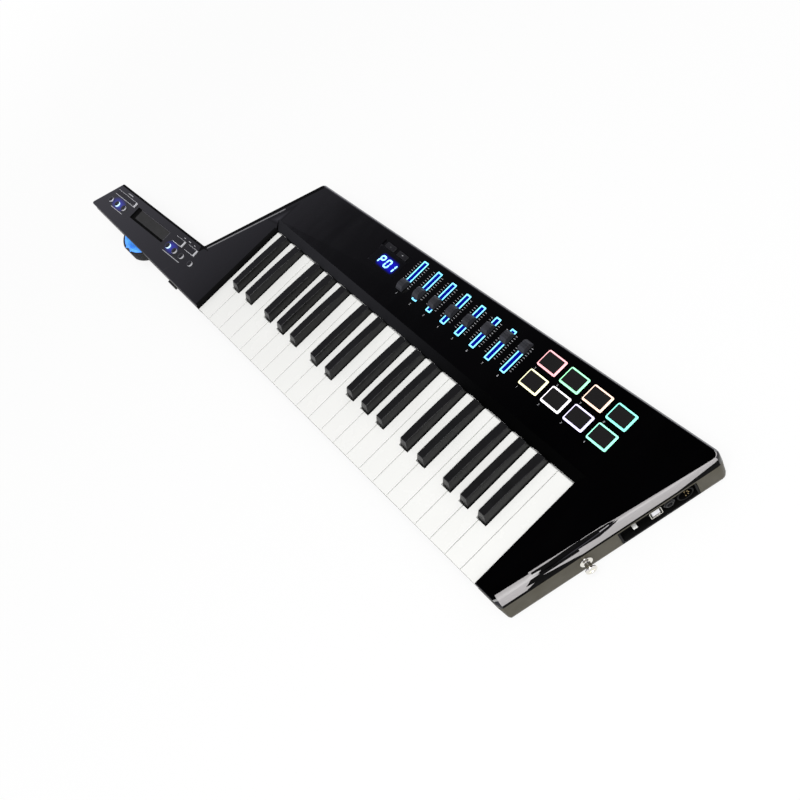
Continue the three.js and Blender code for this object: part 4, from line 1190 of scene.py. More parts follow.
class KEYBOARD_OT_underside(bpy.types.Operator):
    """Puts the screws in their wells and grip ribs on the battery door"""

    bl_idname = "keyboard.underside"
    bl_label = "Underside"

    def execute(self, context):
        settings = context.scene.keyboard_dressing.case
        screw = cross_recess_screw("screw", settings.screw_radius)
        spots = [(*spot, floor) for floor, places in SCREW_PLACES.items() for spot in places]
        for number, spot in enumerate(spots, 1):
            again = copied(screw, "case_screw_%d" % number, flat_matrix(*spot))
            trim(again, "screw_steel", "strap_metal")
        remove(screw)
        refined("battery_door", "case_satin_grey", "case_satin", settings.edge)
        rib = start_block("rib", *GRIP_RIB, (0, 0, GRIP_RIB[2] / 2))
        soften(rib, GRIP_RIB_EDGE)
        low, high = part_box("battery_door")
        ribs = []
        for step in range(GRIP_RIBS):
            x = high.x - (GRIP_MARGIN + GRIP_DEPTH / (GRIP_RIBS + 1) * (step + 1)) * MM
            spot = Vector((x, (high.y + low.y) / 2, low.z + GRIP_SINK * MM))
            ribs.append(copied(rib, "rib", Matrix.Translation(spot)))
        remove(rib)
        grip = joined("battery_door_grip", ribs)
        smooth(grip)
        settle(grip, BODY_OF["battery_door"], "case_satin_grey", "case_satin")
        return {"FINISHED"}


# Keys

WHITE_REACH = 129.3


def on_rear_edge(middle, way):
    """Whether an edge is the rear one of a white key's top."""
    x, y, z = drawn(middle)
    return abs(y - WHITE_REACH) < 0.1 and abs(z) < 0.1 and abs(way.x) > 0.9


class KEYBOARD_OT_white_keys(bpy.types.Operator):
    """Rounds and finishes the white keys"""

    bl_idname = "keyboard.white_keys"
    bl_label = "White keys"

    def execute(self, context):
        settings = context.scene.keyboard_dressing.keys
        for name in WHITE_KEYS:
            piece = merged_copy(name)
            with editing(piece, "EDGE"):
                pick_edges(piece, on_rear_edge)
                bpy.ops.mesh.bevel(offset=settings.rear_edge * MM, segments=4)
            ease(piece, settings.white_edge, 3, 35)
            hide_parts(name)
            settle(piece, BODY_OF[name], "key_white", "key_white")
        return {"FINISHED"}


def black_key_finish(centre, normal):
    return "key_black_top" if normal.z > 0.9 else "key_black"


class KEYBOARD_OT_black_keys(bpy.types.Operator):
    """Rounds and finishes the black keys"""

    bl_idname = "keyboard.black_keys"
    bl_label = "Black keys"

    def execute(self, context):
        edge = context.scene.keyboard_dressing.keys.black_edge
        for name in BLACK_KEYS:
            piece = merged_copy(name)
            paint(piece, ("key_black", "key_black_top"), black_key_finish)
            ease(piece, edge, 3, 35)
            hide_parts(name)
            settle(piece, BODY_OF[name], "key_black")
        return {"FINISHED"}


# Faders

FADER_COUNT = 8
FADER_FIRST = 201.32
FADER_PITCH = 24.4
FADER_SLOT = (167.3, 205.7)
FADER_SLOT_WIDTH = 3.6
SLOT_LENGTH = FADER_SLOT[1] - FADER_SLOT[0]
SLOT_MIDDLE = sum(FADER_SLOT) / 2
NUMBER_ROW = 160.4
CAP_BASE = PANEL_TOP + 0.3
CAP_FOOT = 1.4
CAP_TOP_SHARES = (0.84, 0.5)
CAP_TOP_BACK = 0.9
STEM = (2.6, 6.0)
FOOT_HEIGHT = 1.5
FOOT_GAP = 0.1
FOOT_SPREAD = 3.0
HAIR = 0.0001
CAP_EDGE = 0.35
GRIP_GROOVES = 4
GROOVED_DEPTH = 5.2
GROOVE = 0.5
POINTER = 0.8
GROOVE_OVERRUN_SHARE = 1.1
RING_HEIGHT = 0.25
RING_OVERLAP = 0.1
RING_CORNER = 0.9
RING_EDGE = 0.06
LINING_FIT = 0.04
LINING_HEIGHT = 2.3
LINING_WALL = 0.22
LINING_CORNER = 0.3
LINING_FOOT = -2.4
GLOW_WIDTH = 16.0
GLOW_MARGIN = 4.0
GLOW_THICK = 0.3
GLOW_PLACE = (-3.0, 0, -8.15)
NUMBER_HEIGHT = 3.6
TICK = (2.5, 0.5)
TICK_RISE = 0.06
TICK_ENDS = (172.0, 203.0)
TICK_SIDE = 7.2


def groove(width, side, y, z):
    """A bar standing on its edge, which cuts a groove across a cap."""
    bar = start_block("groove", width, side, side)
    return moved(bar, shift(0, y, z) @ Matrix.Rotation(math.radians(45), 4, "X"))


def fader_cap(name, node):
    """A fader cap: a block with a long sloping front, grip grooves across it, and its stem."""
    low, high = drawn_box(node)
    width, length, height = high.x - low.x, high.y - low.y, high.z - CAP_BASE
    cap = start_block(name, width, length, CAP_FOOT, (0, 0, CAP_BASE + CAP_FOOT / 2))
    extrude = bpy.ops.mesh.extrude_region_move
    with editing(cap):
        pick_faces(cap, lambda centre, normal: normal.z > 0.9)
        extrude(TRANSFORM_OT_translate={"value": (0, 0, (height - CAP_FOOT) * MM)})
        bpy.ops.transform.resize(
            value=(*CAP_TOP_SHARES, 1), center_override=(0, CAP_TOP_BACK * MM, 0)
        )
    with editing(cap):
        pick_faces(cap, lambda centre, normal: normal.z < -0.9)
        bpy.ops.mesh.inset(thickness=(width - STEM[0]) / 2 * MM)
        bpy.ops.transform.resize(
            value=(1, STEM[1] / (length - width + STEM[0]), 1), center_override=(0, 0, 0)
        )
        foot_top = low.z + FOOT_GAP + FOOT_HEIGHT
        extrude(TRANSFORM_OT_translate={"value": (0, 0, (foot_top - CAP_BASE) * MM)})
        bpy.ops.mesh.inset(thickness=HAIR * MM)
        bpy.ops.transform.resize(value=(FOOT_SPREAD, 1.0, 1), center_override=(0, 0, 0))
        extrude(TRANSFORM_OT_translate={"value": (0, 0, -FOOT_HEIGHT * MM)})
    reach = width * GROOVE_OVERRUN_SHARE
    grooves = []
    for step in range(GRIP_GROOVES):
        share = (step + 0.8) / (GRIP_GROOVES + 0.4)
        y = -length / 2 + share * GROOVED_DEPTH
        z = CAP_BASE + CAP_FOOT + share * (height - CAP_FOOT)
        grooves.append(groove(reach, GROOVE, y, z))
    grooves.append(groove(reach, POINTER, CAP_TOP_BACK, CAP_BASE + height))
    soften(cap, CAP_EDGE)
    cut_away(cap, joined("grooves", grooves))
    tidy(cap)
    smooth(cap, 32)
    return cap


def slot_glow(name):
    """The lit trough seen through a slot: a thin lining of its walls and a plate under it."""
    width, length = (side - LINING_FIT for side in (FADER_SLOT_WIDTH, SLOT_LENGTH))
    lining = hollow_frame("lining", width, length, LINING_HEIGHT, LINING_WALL, LINING_CORNER)
    moved(lining, shift(0, 0, LINING_FOOT))
    plate = start_block("plate", GLOW_WIDTH, SLOT_LENGTH + GLOW_MARGIN, GLOW_THICK, GLOW_PLACE)
    with editing(plate):
        pick_faces(plate, lambda centre, normal: normal.z > 0.9)
        bpy.ops.mesh.inset(thickness=1.0 * MM)
        grow(-0.05)
    return joined(name, [plate, lining])


def tick_marks(name, count):
    """Printed ticks on both sides of a slot."""
    pitch = (TICK_ENDS[1] - TICK_ENDS[0]) / (count - 1)
    first = shift(-TICK_SIDE, TICK_ENDS[0] - SLOT_MIDDLE, 0)
    tick = printed_bar(name, *TICK, first, TICK_RISE)
    choose(tick)
    for way, number in (((0, pitch * MM, 0), count), ((2 * TICK_SIDE * MM, 0, 0), 2)):
        row = tick.modifiers.new("row", "ARRAY")
        row.use_relative_offset = False
        row.use_constant_offset = True
        row.constant_offset_displace = way
        row.count = number
        bpy.ops.object.modifier_apply(modifier=row.name)
    return tick


class KEYBOARD_OT_faders(bpy.types.Operator):
    """Makes the fader caps, their light frames, ticks and numbers"""

    bl_idname = "keyboard.faders"
    bl_label = "Faders"

    def execute(self, context):
        settings = context.scene.keyboard_dressing.faders
        cap = fader_cap("cap", "fader_cap_1")
        length = SLOT_LENGTH + 2 * (settings.line - RING_OVERLAP)
        ring = hollow_frame(
            "ring", settings.frame_width, length, RING_HEIGHT, settings.line, RING_CORNER, RING_EDGE
        )
        shapes = (
            ("fader_light_%d", "light_cyan", ring),
            ("fader_glow_%d", "light_deep_blue", slot_glow("glow")),
            ("fader_ticks_%d", "print_grey", tick_marks("ticks", settings.ticks)),
        )
        for number in range(1, FADER_COUNT + 1):
            node = "fader_cap_%d" % number
            x = FADER_FIRST + FADER_PITCH * (number - 1)
            low, high = drawn_box(node)
            middle = (low + high) / 2
            piece = copied(cap, "fader_%d" % number, flat_matrix(middle.x, middle.y, 0))
            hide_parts(node)
            settle(piece, BODY_OF[node], "cap_plastic", "cap_grey")
            for name, look, shape in shapes:
                trim(copied(shape, name % number, flat_matrix(x, SLOT_MIDDLE, PANEL_TOP)), look)
            spot = flat_matrix(x, NUMBER_ROW, PANEL_TOP)
            label = lettering("fader_number_%d" % number, str(number), NUMBER_HEIGHT, spot)
            trim(label, "print_grey")
        for piece in (cap, *(shape for name, look, shape in shapes)):
            remove(piece)
        return {"FINISHED"}


# Pads

PAD_FIRST = (407.45, 177.9)
PAD_PITCH = (32.35, 26.0)
PAD_HOLE = (26.4, 19.8)
PAD = (22.6, 16.0)
PAD_LEDGE = 4.5
PAD_RISE = 2.0
PAD_EDGE = 0.5
PAD_RING_FIT = 0.15
PAD_RING_CORNER = 1.9
PAD_RING_EDGE = 0.08
SKIRT_MARGIN = 0.7
SKIRT_DROP = 0.3
SKIRT_WALL = 0.3
SKIRT_CORNER = 1.0
PAD_NUMBER_OFFSET = (-10.0, -14.0)
PAD_NUMBER_HEIGHT = 3.2


def pad_ring(name, line, rise):
    """The light guide around a pad: a flat frame, and a skirt that climbs the pad's side."""
    sides = (side - PAD_RING_FIT for side in PAD_HOLE)
    flat = hollow_frame("flat", *sides, rise, line, PAD_RING_CORNER, PAD_RING_EDGE)
    sides = (side + SKIRT_MARGIN for side in PAD)
    skirt = hollow_frame("skirt", *sides, PAD_RISE - SKIRT_DROP, SKIRT_WALL, SKIRT_CORNER)
    return joined(name, [skirt, flat])


class KEYBOARD_OT_pads(bpy.types.Operator):
    """Finishes the rubber pad sheet and lays a coloured light ring around each pad"""

    bl_idname = "keyboard.pads"
    bl_label = "Pads"

    def execute(self, context):
        settings = context.scene.keyboard_dressing.pads
        refined("pad_mat", "pad_rubber", "pad_rubber", PAD_EDGE, 3)
        ring = pad_ring("ring", settings.ring_line, settings.ring_rise)
        for index, light in enumerate(PAD_LIGHTS):
            x = PAD_FIRST[0] + PAD_PITCH[0] * (index % 4)
            y = PAD_FIRST[1] + PAD_PITCH[1] * (index // 4)
            piece = copied(ring, "pad_light_%d" % (index + 1), flat_matrix(x, y, PAD_LEDGE))
            trim(piece, light)
            spot = flat_matrix(x + PAD_NUMBER_OFFSET[0], y + PAD_NUMBER_OFFSET[1], PANEL_TOP)
            number = str(index + 1)
            label = lettering("pad_number_" + number, number, PAD_NUMBER_HEIGHT, spot)
            trim(label, "print_grey")
        remove(ring)
        return {"FINISHED"}


# Display

DISPLAY_MIDDLE = (158.82, 185.0)
DISPLAY_POCKET = (47.5, 30.6)
POCKET_FLOOR = 4.2
WINDOW_FIT = 0.2
WINDOW_ENDS = (DISPLAY_MIDDLE[1] - DISPLAY_POCKET[1] / 2 + WINDOW_FIT, 192.4)
WINDOW_THICK = 0.6
WINDOW_CORNER = 1.2
WINDOW_RIM = 0.8
WINDOW_DOME = 0.08
WINDOW_EDGE = 0.12
FIGURE_PLACES = (151.8, 162.6, 171.6)
FIGURE_ROW = 179.2
FIGURE_RISE = 0.06
FIGURE_LEAN = 0.12
HALF_WIDTH_SHARE = 0.3
SEGMENT_SHARE = 0.21
SEGMENT_LENGTH_SHARE = 0.96
SEGMENT_POINT_SHARE = 0.42
SEGMENT_STRETCH = 1.3
SEGMENT_HEIGHT = 0.12
BUTTON_EDGE = 0.5
SIGN_HEIGHT = 4.2
SIGN_RISE = 0.06
SIGNS = {"left": "-", "right": "+"}
SEGMENTS = {
    "top": (0.0, 1.0, 0), "middle": (0.0, 0.0, 0), "bottom": (0.0, -1.0, 0),
    "left_top": (-1.0, 0.5, 1), "left_bottom": (-1.0, -0.5, 1),
    "right_top": (1.0, 0.5, 1), "right_bottom": (1.0, -0.5, 1),
}
FIGURES = {
    "P": ("top", "middle", "left_top", "left_bottom", "right_top"),
    "0": ("top", "bottom", "left_top", "left_bottom", "right_top", "right_bottom"),
    "1": ("right_top", "right_bottom"),
}


def seven_segment_figure(name, figure, height):
    """A seven-segment figure, leaning a little, made of one segment again and again."""
    half_height = height / 2
    half_width = height * HALF_WIDTH_SHARE
    thickness = height * SEGMENT_SHARE
    length = half_height * SEGMENT_LENGTH_SHARE
    bar = start_block("bar", length, thickness, SEGMENT_HEIGHT, (0, 0, SEGMENT_HEIGHT / 2))
    with editing(bar, "EDGE"):
        pick_edges(bar, upright)
        bpy.ops.mesh.bevel(offset=thickness * SEGMENT_POINT_SHARE * MM, segments=1)
    pieces = []
    for segment in FIGURES[figure]:
        x, y, stands = SEGMENTS[segment]
        turn = Matrix.Rotation(math.pi / 2 * stands, 4, "Z")
        stretch = Matrix.Diagonal((1 if stands else SEGMENT_STRETCH, 1, 1, 1))
        spot = shift(x * half_width, y * half_height, 0)
        pieces.append(copied(bar, segment, spot @ turn @ stretch))
    remove(bar)
    whole = joined(name, pieces)
    lean = Matrix.Identity(4)
    lean[0][1] = FIGURE_LEAN
    return moved(whole, lean)


class KEYBOARD_OT_display(bpy.types.Operator):
    """Sets the smoked window and its lit figures in the panel, and finishes the two buttons"""

    bl_idname = "keyboard.display"
    bl_label = "Display"

    def execute(self, context):
        settings = context.scene.keyboard_dressing.display
        front, rear = WINDOW_ENDS
        width = DISPLAY_POCKET[0] - 2 * WINDOW_FIT
        middle = (0, 0, WINDOW_THICK / 2)
        window = start_block("display_window", width, rear - front, WINDOW_THICK, middle)
        with editing(window, "EDGE"):
            pick_edges(window, upright)
            bpy.ops.mesh.bevel(offset=WINDOW_CORNER * MM, segments=4)
        with editing(window):
            pick_faces(window, top_face(window))
            bpy.ops.mesh.inset(thickness=WINDOW_RIM * MM)
            grow(WINDOW_DOME)
        ease(window, WINDOW_EDGE)
        moved(window, flat_matrix(DISPLAY_MIDDLE[0], (front + rear) / 2, POCKET_FLOOR))
        trim(window, "smoked_window", "case_gloss_black")
        figures = []
        level = POCKET_FLOOR + WINDOW_THICK + FIGURE_RISE
        for figure, x in zip(settings.figures, FIGURE_PLACES):
            shape = seven_segment_figure("figure", figure, settings.figure_height)
            figures.append(moved(shape, flat_matrix(x, FIGURE_ROW, level)))
        trim(joined("display_figures", figures), "light_digit")
        for side, sign in SIGNS.items():
            node = "display_button_" + side
            refined(node, "cap_plastic", "button_black", BUTTON_EDGE, 3)
            low, high = drawn_box(node)
            spot = flat_matrix((low.x + high.x) / 2, (low.y + high.y) / 2, high.z)
            mark = lettering("display_sign_" + side, sign, SIGN_HEIGHT, spot, SIGN_RISE)
            settle(mark, BODY_OF[node], "switch_plastic", "print_grey")
        return {"FINISHED"}


# Neck controls

NECK_LAMPS = (
    (-254.5, 20.2, False), (-238.6, 21.4, True), (-223.5, 23.0, False),
    (-111.3, 27.9, True), (-96.5, 28.6, False), (-81.0, 29.6, False), (-60.5, 30.2, False),
)
NECK_LINES = (
    (-232.5, 15.1, 28.5, 0.8), (-95.4, 21.0, 38.0, 0.8), (-233.3, 41.6, 11.5, 1.1),
    (-100.2, 48.7, 3.4, 1.0), (-89.1, 49.3, 4.6, 1.0), (-77.9, 49.8, 3.0, 0.8),
)
STRIP = (-165.2, 31.2, 78.0, 17.2, STRIP_FLOOR)
FILM_MARGINS = {"left": 8.5, "right": 1.2, "front": 3.2, "rear": 0.3}
FILM_THICK = 0.9
FILM_CORNER = 0.6
FILM_EDGE = 0.08
REAR_BAR = 0.6
END_BAR = 0.8
BAR_HEIGHT = 0.5
BAR_LEVEL = 1.1
BAR_EDGE = 0.15
BUTTON_RISE = 1.0
BUTTON_INSET = 0.35
BUTTON_CAP = 0.45
NECK_BUTTON_EDGE = 0.2
LAMP_INSET = 0.3
LAMP_DOME = ((0.3, 0.94), (0.12, 0.6))
LAMP_EDGE = 0.12
THUMB_EDGE = 0.6


def capped_button(node):
    """A neck button: a pale body that stands out of the panel, with a black cap on it."""
    stands_out = bpy.context.scene.keyboard_dressing.lamps.lamp_rise - BUTTON_RISE
    piece = merged_copy(node)
    with editing(piece):
        pick_faces(piece, top_face(piece))
        bpy.ops.transform.translate(value=(0, 0, stands_out * MM))
    with editing(piece):
        pick_faces(piece, top_face(piece))
        bpy.ops.mesh.inset(thickness=BUTTON_INSET * MM)
        bpy.ops.mesh.extrude_region_move(TRANSFORM_OT_translate={"value": (0, 0, BUTTON_CAP * MM)})
    for name in ("rim_white", "button_black"):
        piece.data.materials.append(finish(name))
    cap_floor = drawn_box(node)[1].z + stands_out
    for face in piece.data.polygons:
        if drawn(face.center / MM).z > cap_floor + 0.05:
            face.material_index = 1
    ease(piece, NECK_BUTTON_EDGE, 3)
    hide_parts(node)
    settle(piece, BODY_OF[node], "cap_plastic")


def round_lamp(name, radius, rise):
    """A round neck button: pale sides, black domed top."""
    lamp = start_drum(name, radius, rise, 40)
    with editing(lamp):
        pick_faces(lamp, top_face(lamp))
        bpy.ops.mesh.inset(thickness=LAMP_INSET * MM)
        for step, scale in LAMP_DOME:
            grow(step, scale)
    ease(lamp, LAMP_EDGE, shading=50)
    return lamp


class KEYBOARD_OT_neck(bpy.types.Operator):
    """Makes the neck's buttons, round lamps, printed lines and touch strip"""

    bl_idname = "keyboard.neck"
    bl_label = "Neck controls"

    def execute(self, context):
        settings = context.scene.keyboard_dressing.lamps
        for node in ("head_button", "octave_down_button", "octave_up_button"):
            capped_button(node)
        lamp = round_lamp("lamp", settings.lamp_radius, settings.lamp_rise)
        edge = PANEL_TOP + settings.lamp_rise - 0.02
        for index, (x, y, lit) in enumerate(NECK_LAMPS):
            piece = copied(lamp, "neck_lamp_%d" % (index + 1), neck_matrix(x, y, PANEL_TOP))
            for face in piece.data.polygons:
                face.material_index = int(drawn(face.center / MM).z > edge)
            sides = "light_lamp" if lit else "rim_white"
            settle(piece, "case", "cap_plastic", sides, "button_black")
        remove(lamp)
        for index, (x, y, width, depth) in enumerate(NECK_LINES):
            spot = neck_matrix(x, y, PANEL_TOP)
            trim(printed_bar("neck_line_%d" % (index + 1), width, depth, spot), "print_grey")
        x, y, width, depth, floor = STRIP
        left, right = -width / 2 + FILM_MARGINS["left"], width / 2 - FILM_MARGINS["right"]
        front, rear = -depth / 2 + FILM_MARGINS["front"], depth / 2 - FILM_MARGINS["rear"]
        middle = ((left + right) / 2, (front + rear) / 2)
        film = start_block(
            "touch_strip", right - left, rear - front, FILM_THICK, (*middle, FILM_THICK / 2)
        )
        with editing(film, "EDGE"):
            pick_edges(film, upright)
            bpy.ops.mesh.bevel(offset=FILM_CORNER * MM, segments=3)
        ease(film, FILM_EDGE)
        trim(moved(film, neck_matrix(x, y, floor)), "strip_film", "pad_rubber")
        # The rim's bars along the film's rear and right end are a painted highlight on the pocket's edges
        spots = (
            (middle[0], rear - REAR_BAR / 2, BAR_LEVEL), (right + END_BAR / 2, middle[1], BAR_LEVEL)
        )
        bars = [
            start_block("rear_bar", right - left, REAR_BAR, BAR_HEIGHT, spots[0]),
            start_block("end_bar", END_BAR, rear - front, BAR_HEIGHT, spots[1]),
        ]
        for bar in bars:
            soften(bar, BAR_EDGE)
        rim = joined("touch_strip_rim", bars)
        smooth(rim)
        trim(moved(rim, neck_matrix(x, y, floor)), "strip_rim", "cap_plastic")
        refined("sustain_button", "cap_plastic", "button_black", THUMB_EDGE, 3)
        return {"FINISHED"}


# Pitch wheel

WHEEL = (-163.494, 23.7)
WHEEL_RADIUS = 35.2
WHEEL_RIM = 27.2
WHEEL_BORDER = 2.4
WHEEL_WEB_TOP = -1.0
WHEEL_LIT_ANGLE = math.radians(47)
WHEEL_EDGE = 0.3
TREAD_RIB = (0.7, 0.6, 12.6)
TREAD_RIB_LEVEL = -5.0
TREAD_RIB_EDGE = 0.2
RIB_STEP = 2.0
RIB_ANGLES = (15, 48)


def wheel_face_lit(centre, normal, rim_top):
    """Whether a face of the wheel is part of its lit ring or of the lit web inside it."""
    away = Vector((centre.x - WHEEL[0], centre.y - WHEEL[1]))
    angle = abs(math.atan2(away.x, -away.y))
    if abs(centre.z - rim_top) < 0.05:
        return away.length < WHEEL_RADIUS - WHEEL_BORDER and angle < WHEEL_LIT_ANGLE
    on_web = normal.z > 0.9 and abs(centre.z - WHEEL_WEB_TOP) < 0.1
    inner_wall = away.length < WHEEL_RIM + 0.2 and centre.z > WHEEL_WEB_TOP and abs(normal.z) < 0.3
    return (on_web or inner_wall) and away.length < WHEEL_RADIUS - WHEEL_BORDER


class KEYBOARD_OT_pitch_wheel(bpy.types.Operator):
    """Finishes the pitch wheel, with a lit face and a ribbed tread"""

    bl_idname = "keyboard.pitch_wheel"
    bl_label = "Pitch wheel"

    def execute(self, context):
        wheel = merged_copy("pitch_wheel")
        rim_top = drawn_box("pitch_wheel")[1].z
        with editing(wheel):
            pick_faces(
                wheel,
                lambda centre, normal: normal.z > 0.9 and drawn(centre).z > rim_top - 0.05,
            )
            bpy.ops.mesh.inset(thickness=WHEEL_BORDER * MM)
        for face in wheel.data.polygons:
            face.material_index = int(wheel_face_lit(drawn(face.center / MM), face.normal, rim_top))
        for name in ("wheel_black", "light_wheel"):
            wheel.data.materials.append(finish(name))
        ease(wheel, WHEEL_EDGE)
        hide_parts("pitch_wheel")
        settle(wheel, BODY_OF["pitch_wheel"], "wheel_plastic")
        rib = start_block("rib", *TREAD_RIB, (0, -WHEEL_RADIUS, TREAD_RIB_LEVEL))
        soften(rib, TREAD_RIB_EDGE)
        last = round(RIB_ANGLES[1] / RIB_STEP)
        ribs = [
            copied(rib, "rib", Matrix.Rotation(math.radians(step * RIB_STEP), 4, "Z"))
            for step in range(-last, last + 1)
            if abs(step) * RIB_STEP >= RIB_ANGLES[0]
        ]
        remove(rib)
        tread = joined("wheel_tread", ribs)
        moved(tread, flat_matrix(*WHEEL, 0))
        smooth(tread)
        settle(tread, "pitch_wheel", "wheel_plastic", "wheel_black")
        return {"FINISHED"}


# Right end

PANEL_FACE = -9.0
SOCKET_FRONT = -2.6
SWITCH_FRONT = -2.0
SOCKET_Z = -19.9
USB = (163.0, 11.4, 12.4)
JACK = (177.5, 3.6)
MIDI = (194.0, 6.8)
MIDI_PINS = 5
MIDI_PIN_RING = 3.6
COVER = (127.5, 196.0, -10.6)
COVER_SIDES = (1.2, 1.6)
COVER_OUT = 0.3
COVER_EDGE = 0.3
PANEL_EDGE = 0.2
KNOB_EDGE = 0.3
SHELL_SINK = 0.5
SHELL_WALL = 0.6
SHELL_CORNER = 1.2
SHELL_EDGE = 0.12
TONGUE_MARGIN = 4.4
TONGUE_SHORT = 0.4
TONGUE_SINK = 0.2
TONGUE_EDGE = 0.4
NUT_MARGIN = 2.6
NUT_SHORT = 1.0
NUT_STEPS = ((1.4, 1.2), (1.2, -1.6))
NUT_EDGE = 0.2
RING_MARGIN = 1.6
RING_WALL = 1.3
RING_FLOOR = 0.5
RING_SOFT = 0.2
CONTACT = 0.55
CONTACT_SHORT = 0.8
CONTACT_RISE = 0.4
CONTACT_EDGE = 0.2
STRAP_PIN = (-0.6, 87.0, -19.0)
PIN_FLANGE = (6.5, 1.6)
PIN_SINK = 0.5
PIN_STEPS = (
    (0.5, 0.85), (0.6, 0.62), (1.2, 0.94), (3.6, 1.0), (1.0, 1.12),
    (0.8, 1.56), (0.9, 1.06), (0.9, 0.95), (0.5, 0.82),
)
PIN_EDGE = 0.25
PIN_CROSS = (5.0, 1.1, 2.4, 11.6)
OUTWARDS = Matrix.Rotation(math.pi / 2, 4, "Y")


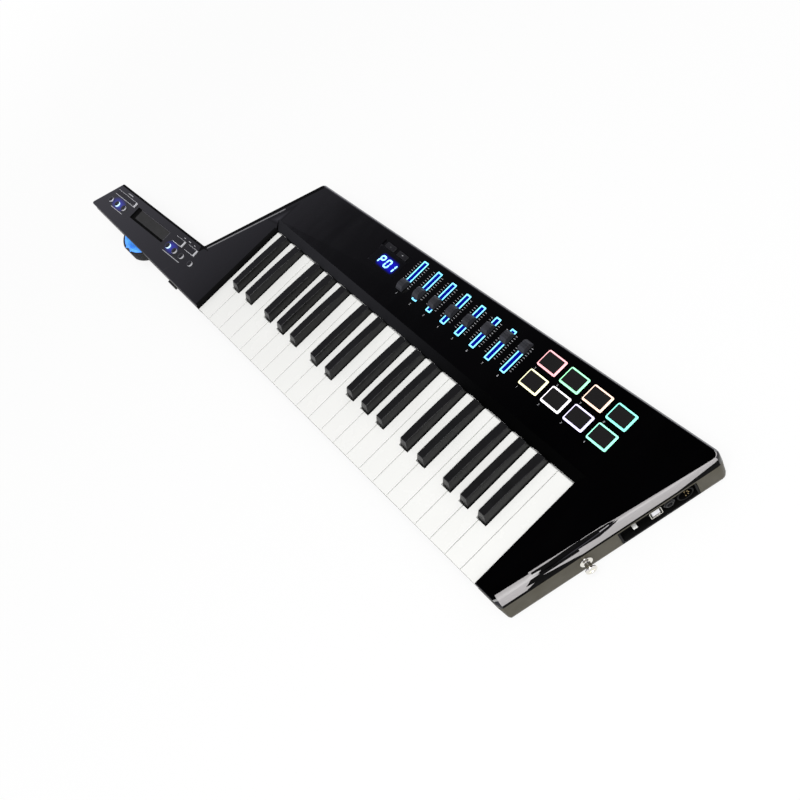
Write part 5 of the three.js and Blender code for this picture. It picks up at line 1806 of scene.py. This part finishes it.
class KEYBOARD_OT_right_end(bpy.types.Operator):
    """Finishes the sockets, the power switch and the strap pin on the right end"""

    bl_idname = "keyboard.right_end"
    bl_label = "Right end"

    def execute(self, context):
        refined("socket_panel", "socket_plastic", "socket_black", PANEL_EDGE)
        self.switch()
        self.fittings()
        self.strap_pin()
        return {"FINISHED"}

    def switch(self):
        """The power switch, with its knob drawn out to where it can be reached."""
        knob = merged_copy("power_switch")
        front = max(end_point(vertex.co / MM).x for vertex in knob.data.vertices)
        with editing(knob):
            pick_faces(knob, lambda centre, normal: end_point(centre).x > front - 0.01)
            bpy.ops.transform.translate(value=END_OUT * (SWITCH_FRONT - front) * MM)
        ease(knob, KNOB_EDGE)
        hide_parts("power_switch")
        settle(knob, BODY_OF["power_switch"], "switch_plastic", "switch_silver")

    def fittings(self):
        """The metal shell, nut, pins and cover strip that stand out of the socket panel."""
        depth = SOCKET_FRONT - PANEL_FACE
        usb = hollow_frame(
            "usb_shell", *USB[1:], depth + SHELL_SINK, SHELL_WALL, SHELL_CORNER, SHELL_EDGE
        )
        moved(usb, end_matrix(PANEL_FACE - SHELL_SINK, USB[0], SOCKET_Z) @ OUTWARDS)
        trim(usb, "chrome", "strap_metal")
        sides = (side - TONGUE_MARGIN for side in USB[1:])
        height = depth - TONGUE_SHORT
        tongue = start_block("usb_tongue", *sides, height, (0, 0, height / 2))
        ease(tongue, TONGUE_EDGE)
        moved(tongue, end_matrix(PANEL_FACE - TONGUE_SINK, USB[0], SOCKET_Z) @ OUTWARDS)
        trim(tongue, "rim_white")
        nut = start_drum("jack_nut", JACK[1] + NUT_MARGIN, depth - NUT_SHORT, 6)
        with editing(nut):
            pick_faces(nut, top_face(nut))
            for inset, rise in NUT_STEPS:
                bpy.ops.mesh.inset(thickness=inset * MM)
                grow(rise)
        ease(nut, NUT_EDGE, angle=25)
        moved(nut, end_matrix(PANEL_FACE, JACK[0], SOCKET_Z) @ OUTWARDS)
        trim(nut, "button_black", "strap_metal")
        ring = start_drum("midi_ring", MIDI[1] + RING_MARGIN, depth, 40)
        with editing(ring):
            pick_faces(ring, top_face(ring))
            bpy.ops.mesh.inset(thickness=RING_WALL * MM)
            grow(RING_FLOOR - depth)
        ease(ring, RING_SOFT)
        moved(ring, end_matrix(PANEL_FACE, MIDI[0], SOCKET_Z) @ OUTWARDS)
        trim(ring, "socket_black", "socket_plastic")
        pin = start_drum("pin", CONTACT, depth - CONTACT_SHORT, 12)
        soften(pin, CONTACT_EDGE)
        pins = []
        for step in range(MIDI_PINS):
            angle = math.radians(180 * step / (MIDI_PINS - 1))
            away = Vector((math.cos(angle), math.sin(angle), 0)) * MIDI_PIN_RING
            pins.append(copied(pin, "pin", shift(*away)))
        remove(pin)
        contacts = joined("midi_pins", pins)
        smooth(contacts)
        moved(contacts, end_matrix(PANEL_FACE + CONTACT_RISE, MIDI[0], SOCKET_Z) @ OUTWARDS)
        trim(contacts, "contact_gold", "strap_metal")
        start, end, level = COVER
        strip = start_block("socket_cover_strip", end - start, *COVER_SIDES)
        ease(strip, COVER_EDGE)
        turn = Matrix.Rotation(math.pi / 2, 4, "Z")
        moved(strip, end_matrix(SOCKET_FRONT + COVER_OUT, (start + end) / 2, level) @ turn)
        trim(strip, "strip_rim", "socket_plastic")

    def strap_pin(self):
        """A turned metal pin: flange, waist, rounded head and a cross cut in its end."""
        pin = start_drum("strap_pin_turned", *PIN_FLANGE, base=-PIN_SINK)
        with editing(pin):
            pick_faces(pin, top_face(pin))
            for rise, scale in PIN_STEPS:
                grow(rise, scale)
        soften(pin, PIN_EDGE, 3, 25)
        cut_cross(pin, *PIN_CROSS)
        smooth(pin, 35)
        moved(pin, end_matrix(*STRAP_PIN) @ OUTWARDS)
        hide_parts("strap_pin")
        trim(pin, "chrome", "strap_metal")


# Panel in the sidebar


class KEYBOARD_PT_dressing(bpy.types.Panel):
    """The steps that dress the keyboard"""

    bl_label = "Shoulder keyboard"
    bl_idname = "KEYBOARD_PT_dressing"
    bl_space_type = "VIEW_3D"
    bl_region_type = "UI"
    bl_category = "Keyboard"

    def draw(self, context):
        for step in STEPS:
            self.layout.operator(step.bl_idname)


STEPS = (
    KEYBOARD_OT_stage,
    KEYBOARD_OT_case,
    KEYBOARD_OT_white_keys,
    KEYBOARD_OT_black_keys,
    KEYBOARD_OT_faders,
    KEYBOARD_OT_pads,
    KEYBOARD_OT_display,
    KEYBOARD_OT_neck,
    KEYBOARD_OT_pitch_wheel,
    KEYBOARD_OT_right_end,
    KEYBOARD_OT_underside,
)
SETTINGS = (
    StageSettings, CaseSettings, KeySettings, FaderSettings, PadSettings, LampSettings,
    DisplaySettings, KeyboardSettings,
)


def register():
    for group in (*SETTINGS, *STEPS, KEYBOARD_PT_dressing):
        bpy.utils.register_class(group)
    bpy.types.Scene.keyboard_dressing = PointerProperty(type=KeyboardSettings)


def unregister():
    del bpy.types.Scene.keyboard_dressing
    for group in reversed((*SETTINGS, *STEPS, KEYBOARD_PT_dressing)):
        bpy.utils.unregister_class(group)


def main():
    register()
    bpy.ops.keyboard.stage()
    bpy.ops.keyboard.case()
    bpy.ops.keyboard.white_keys()
    bpy.ops.keyboard.black_keys()
    bpy.ops.keyboard.faders()
    bpy.ops.keyboard.pads()
    bpy.ops.keyboard.display()
    bpy.ops.keyboard.neck()
    bpy.ops.keyboard.pitch_wheel()
    bpy.ops.keyboard.right_end()
    bpy.ops.keyboard.underside()
    deselect()


if __name__ == "__main__":
    main()
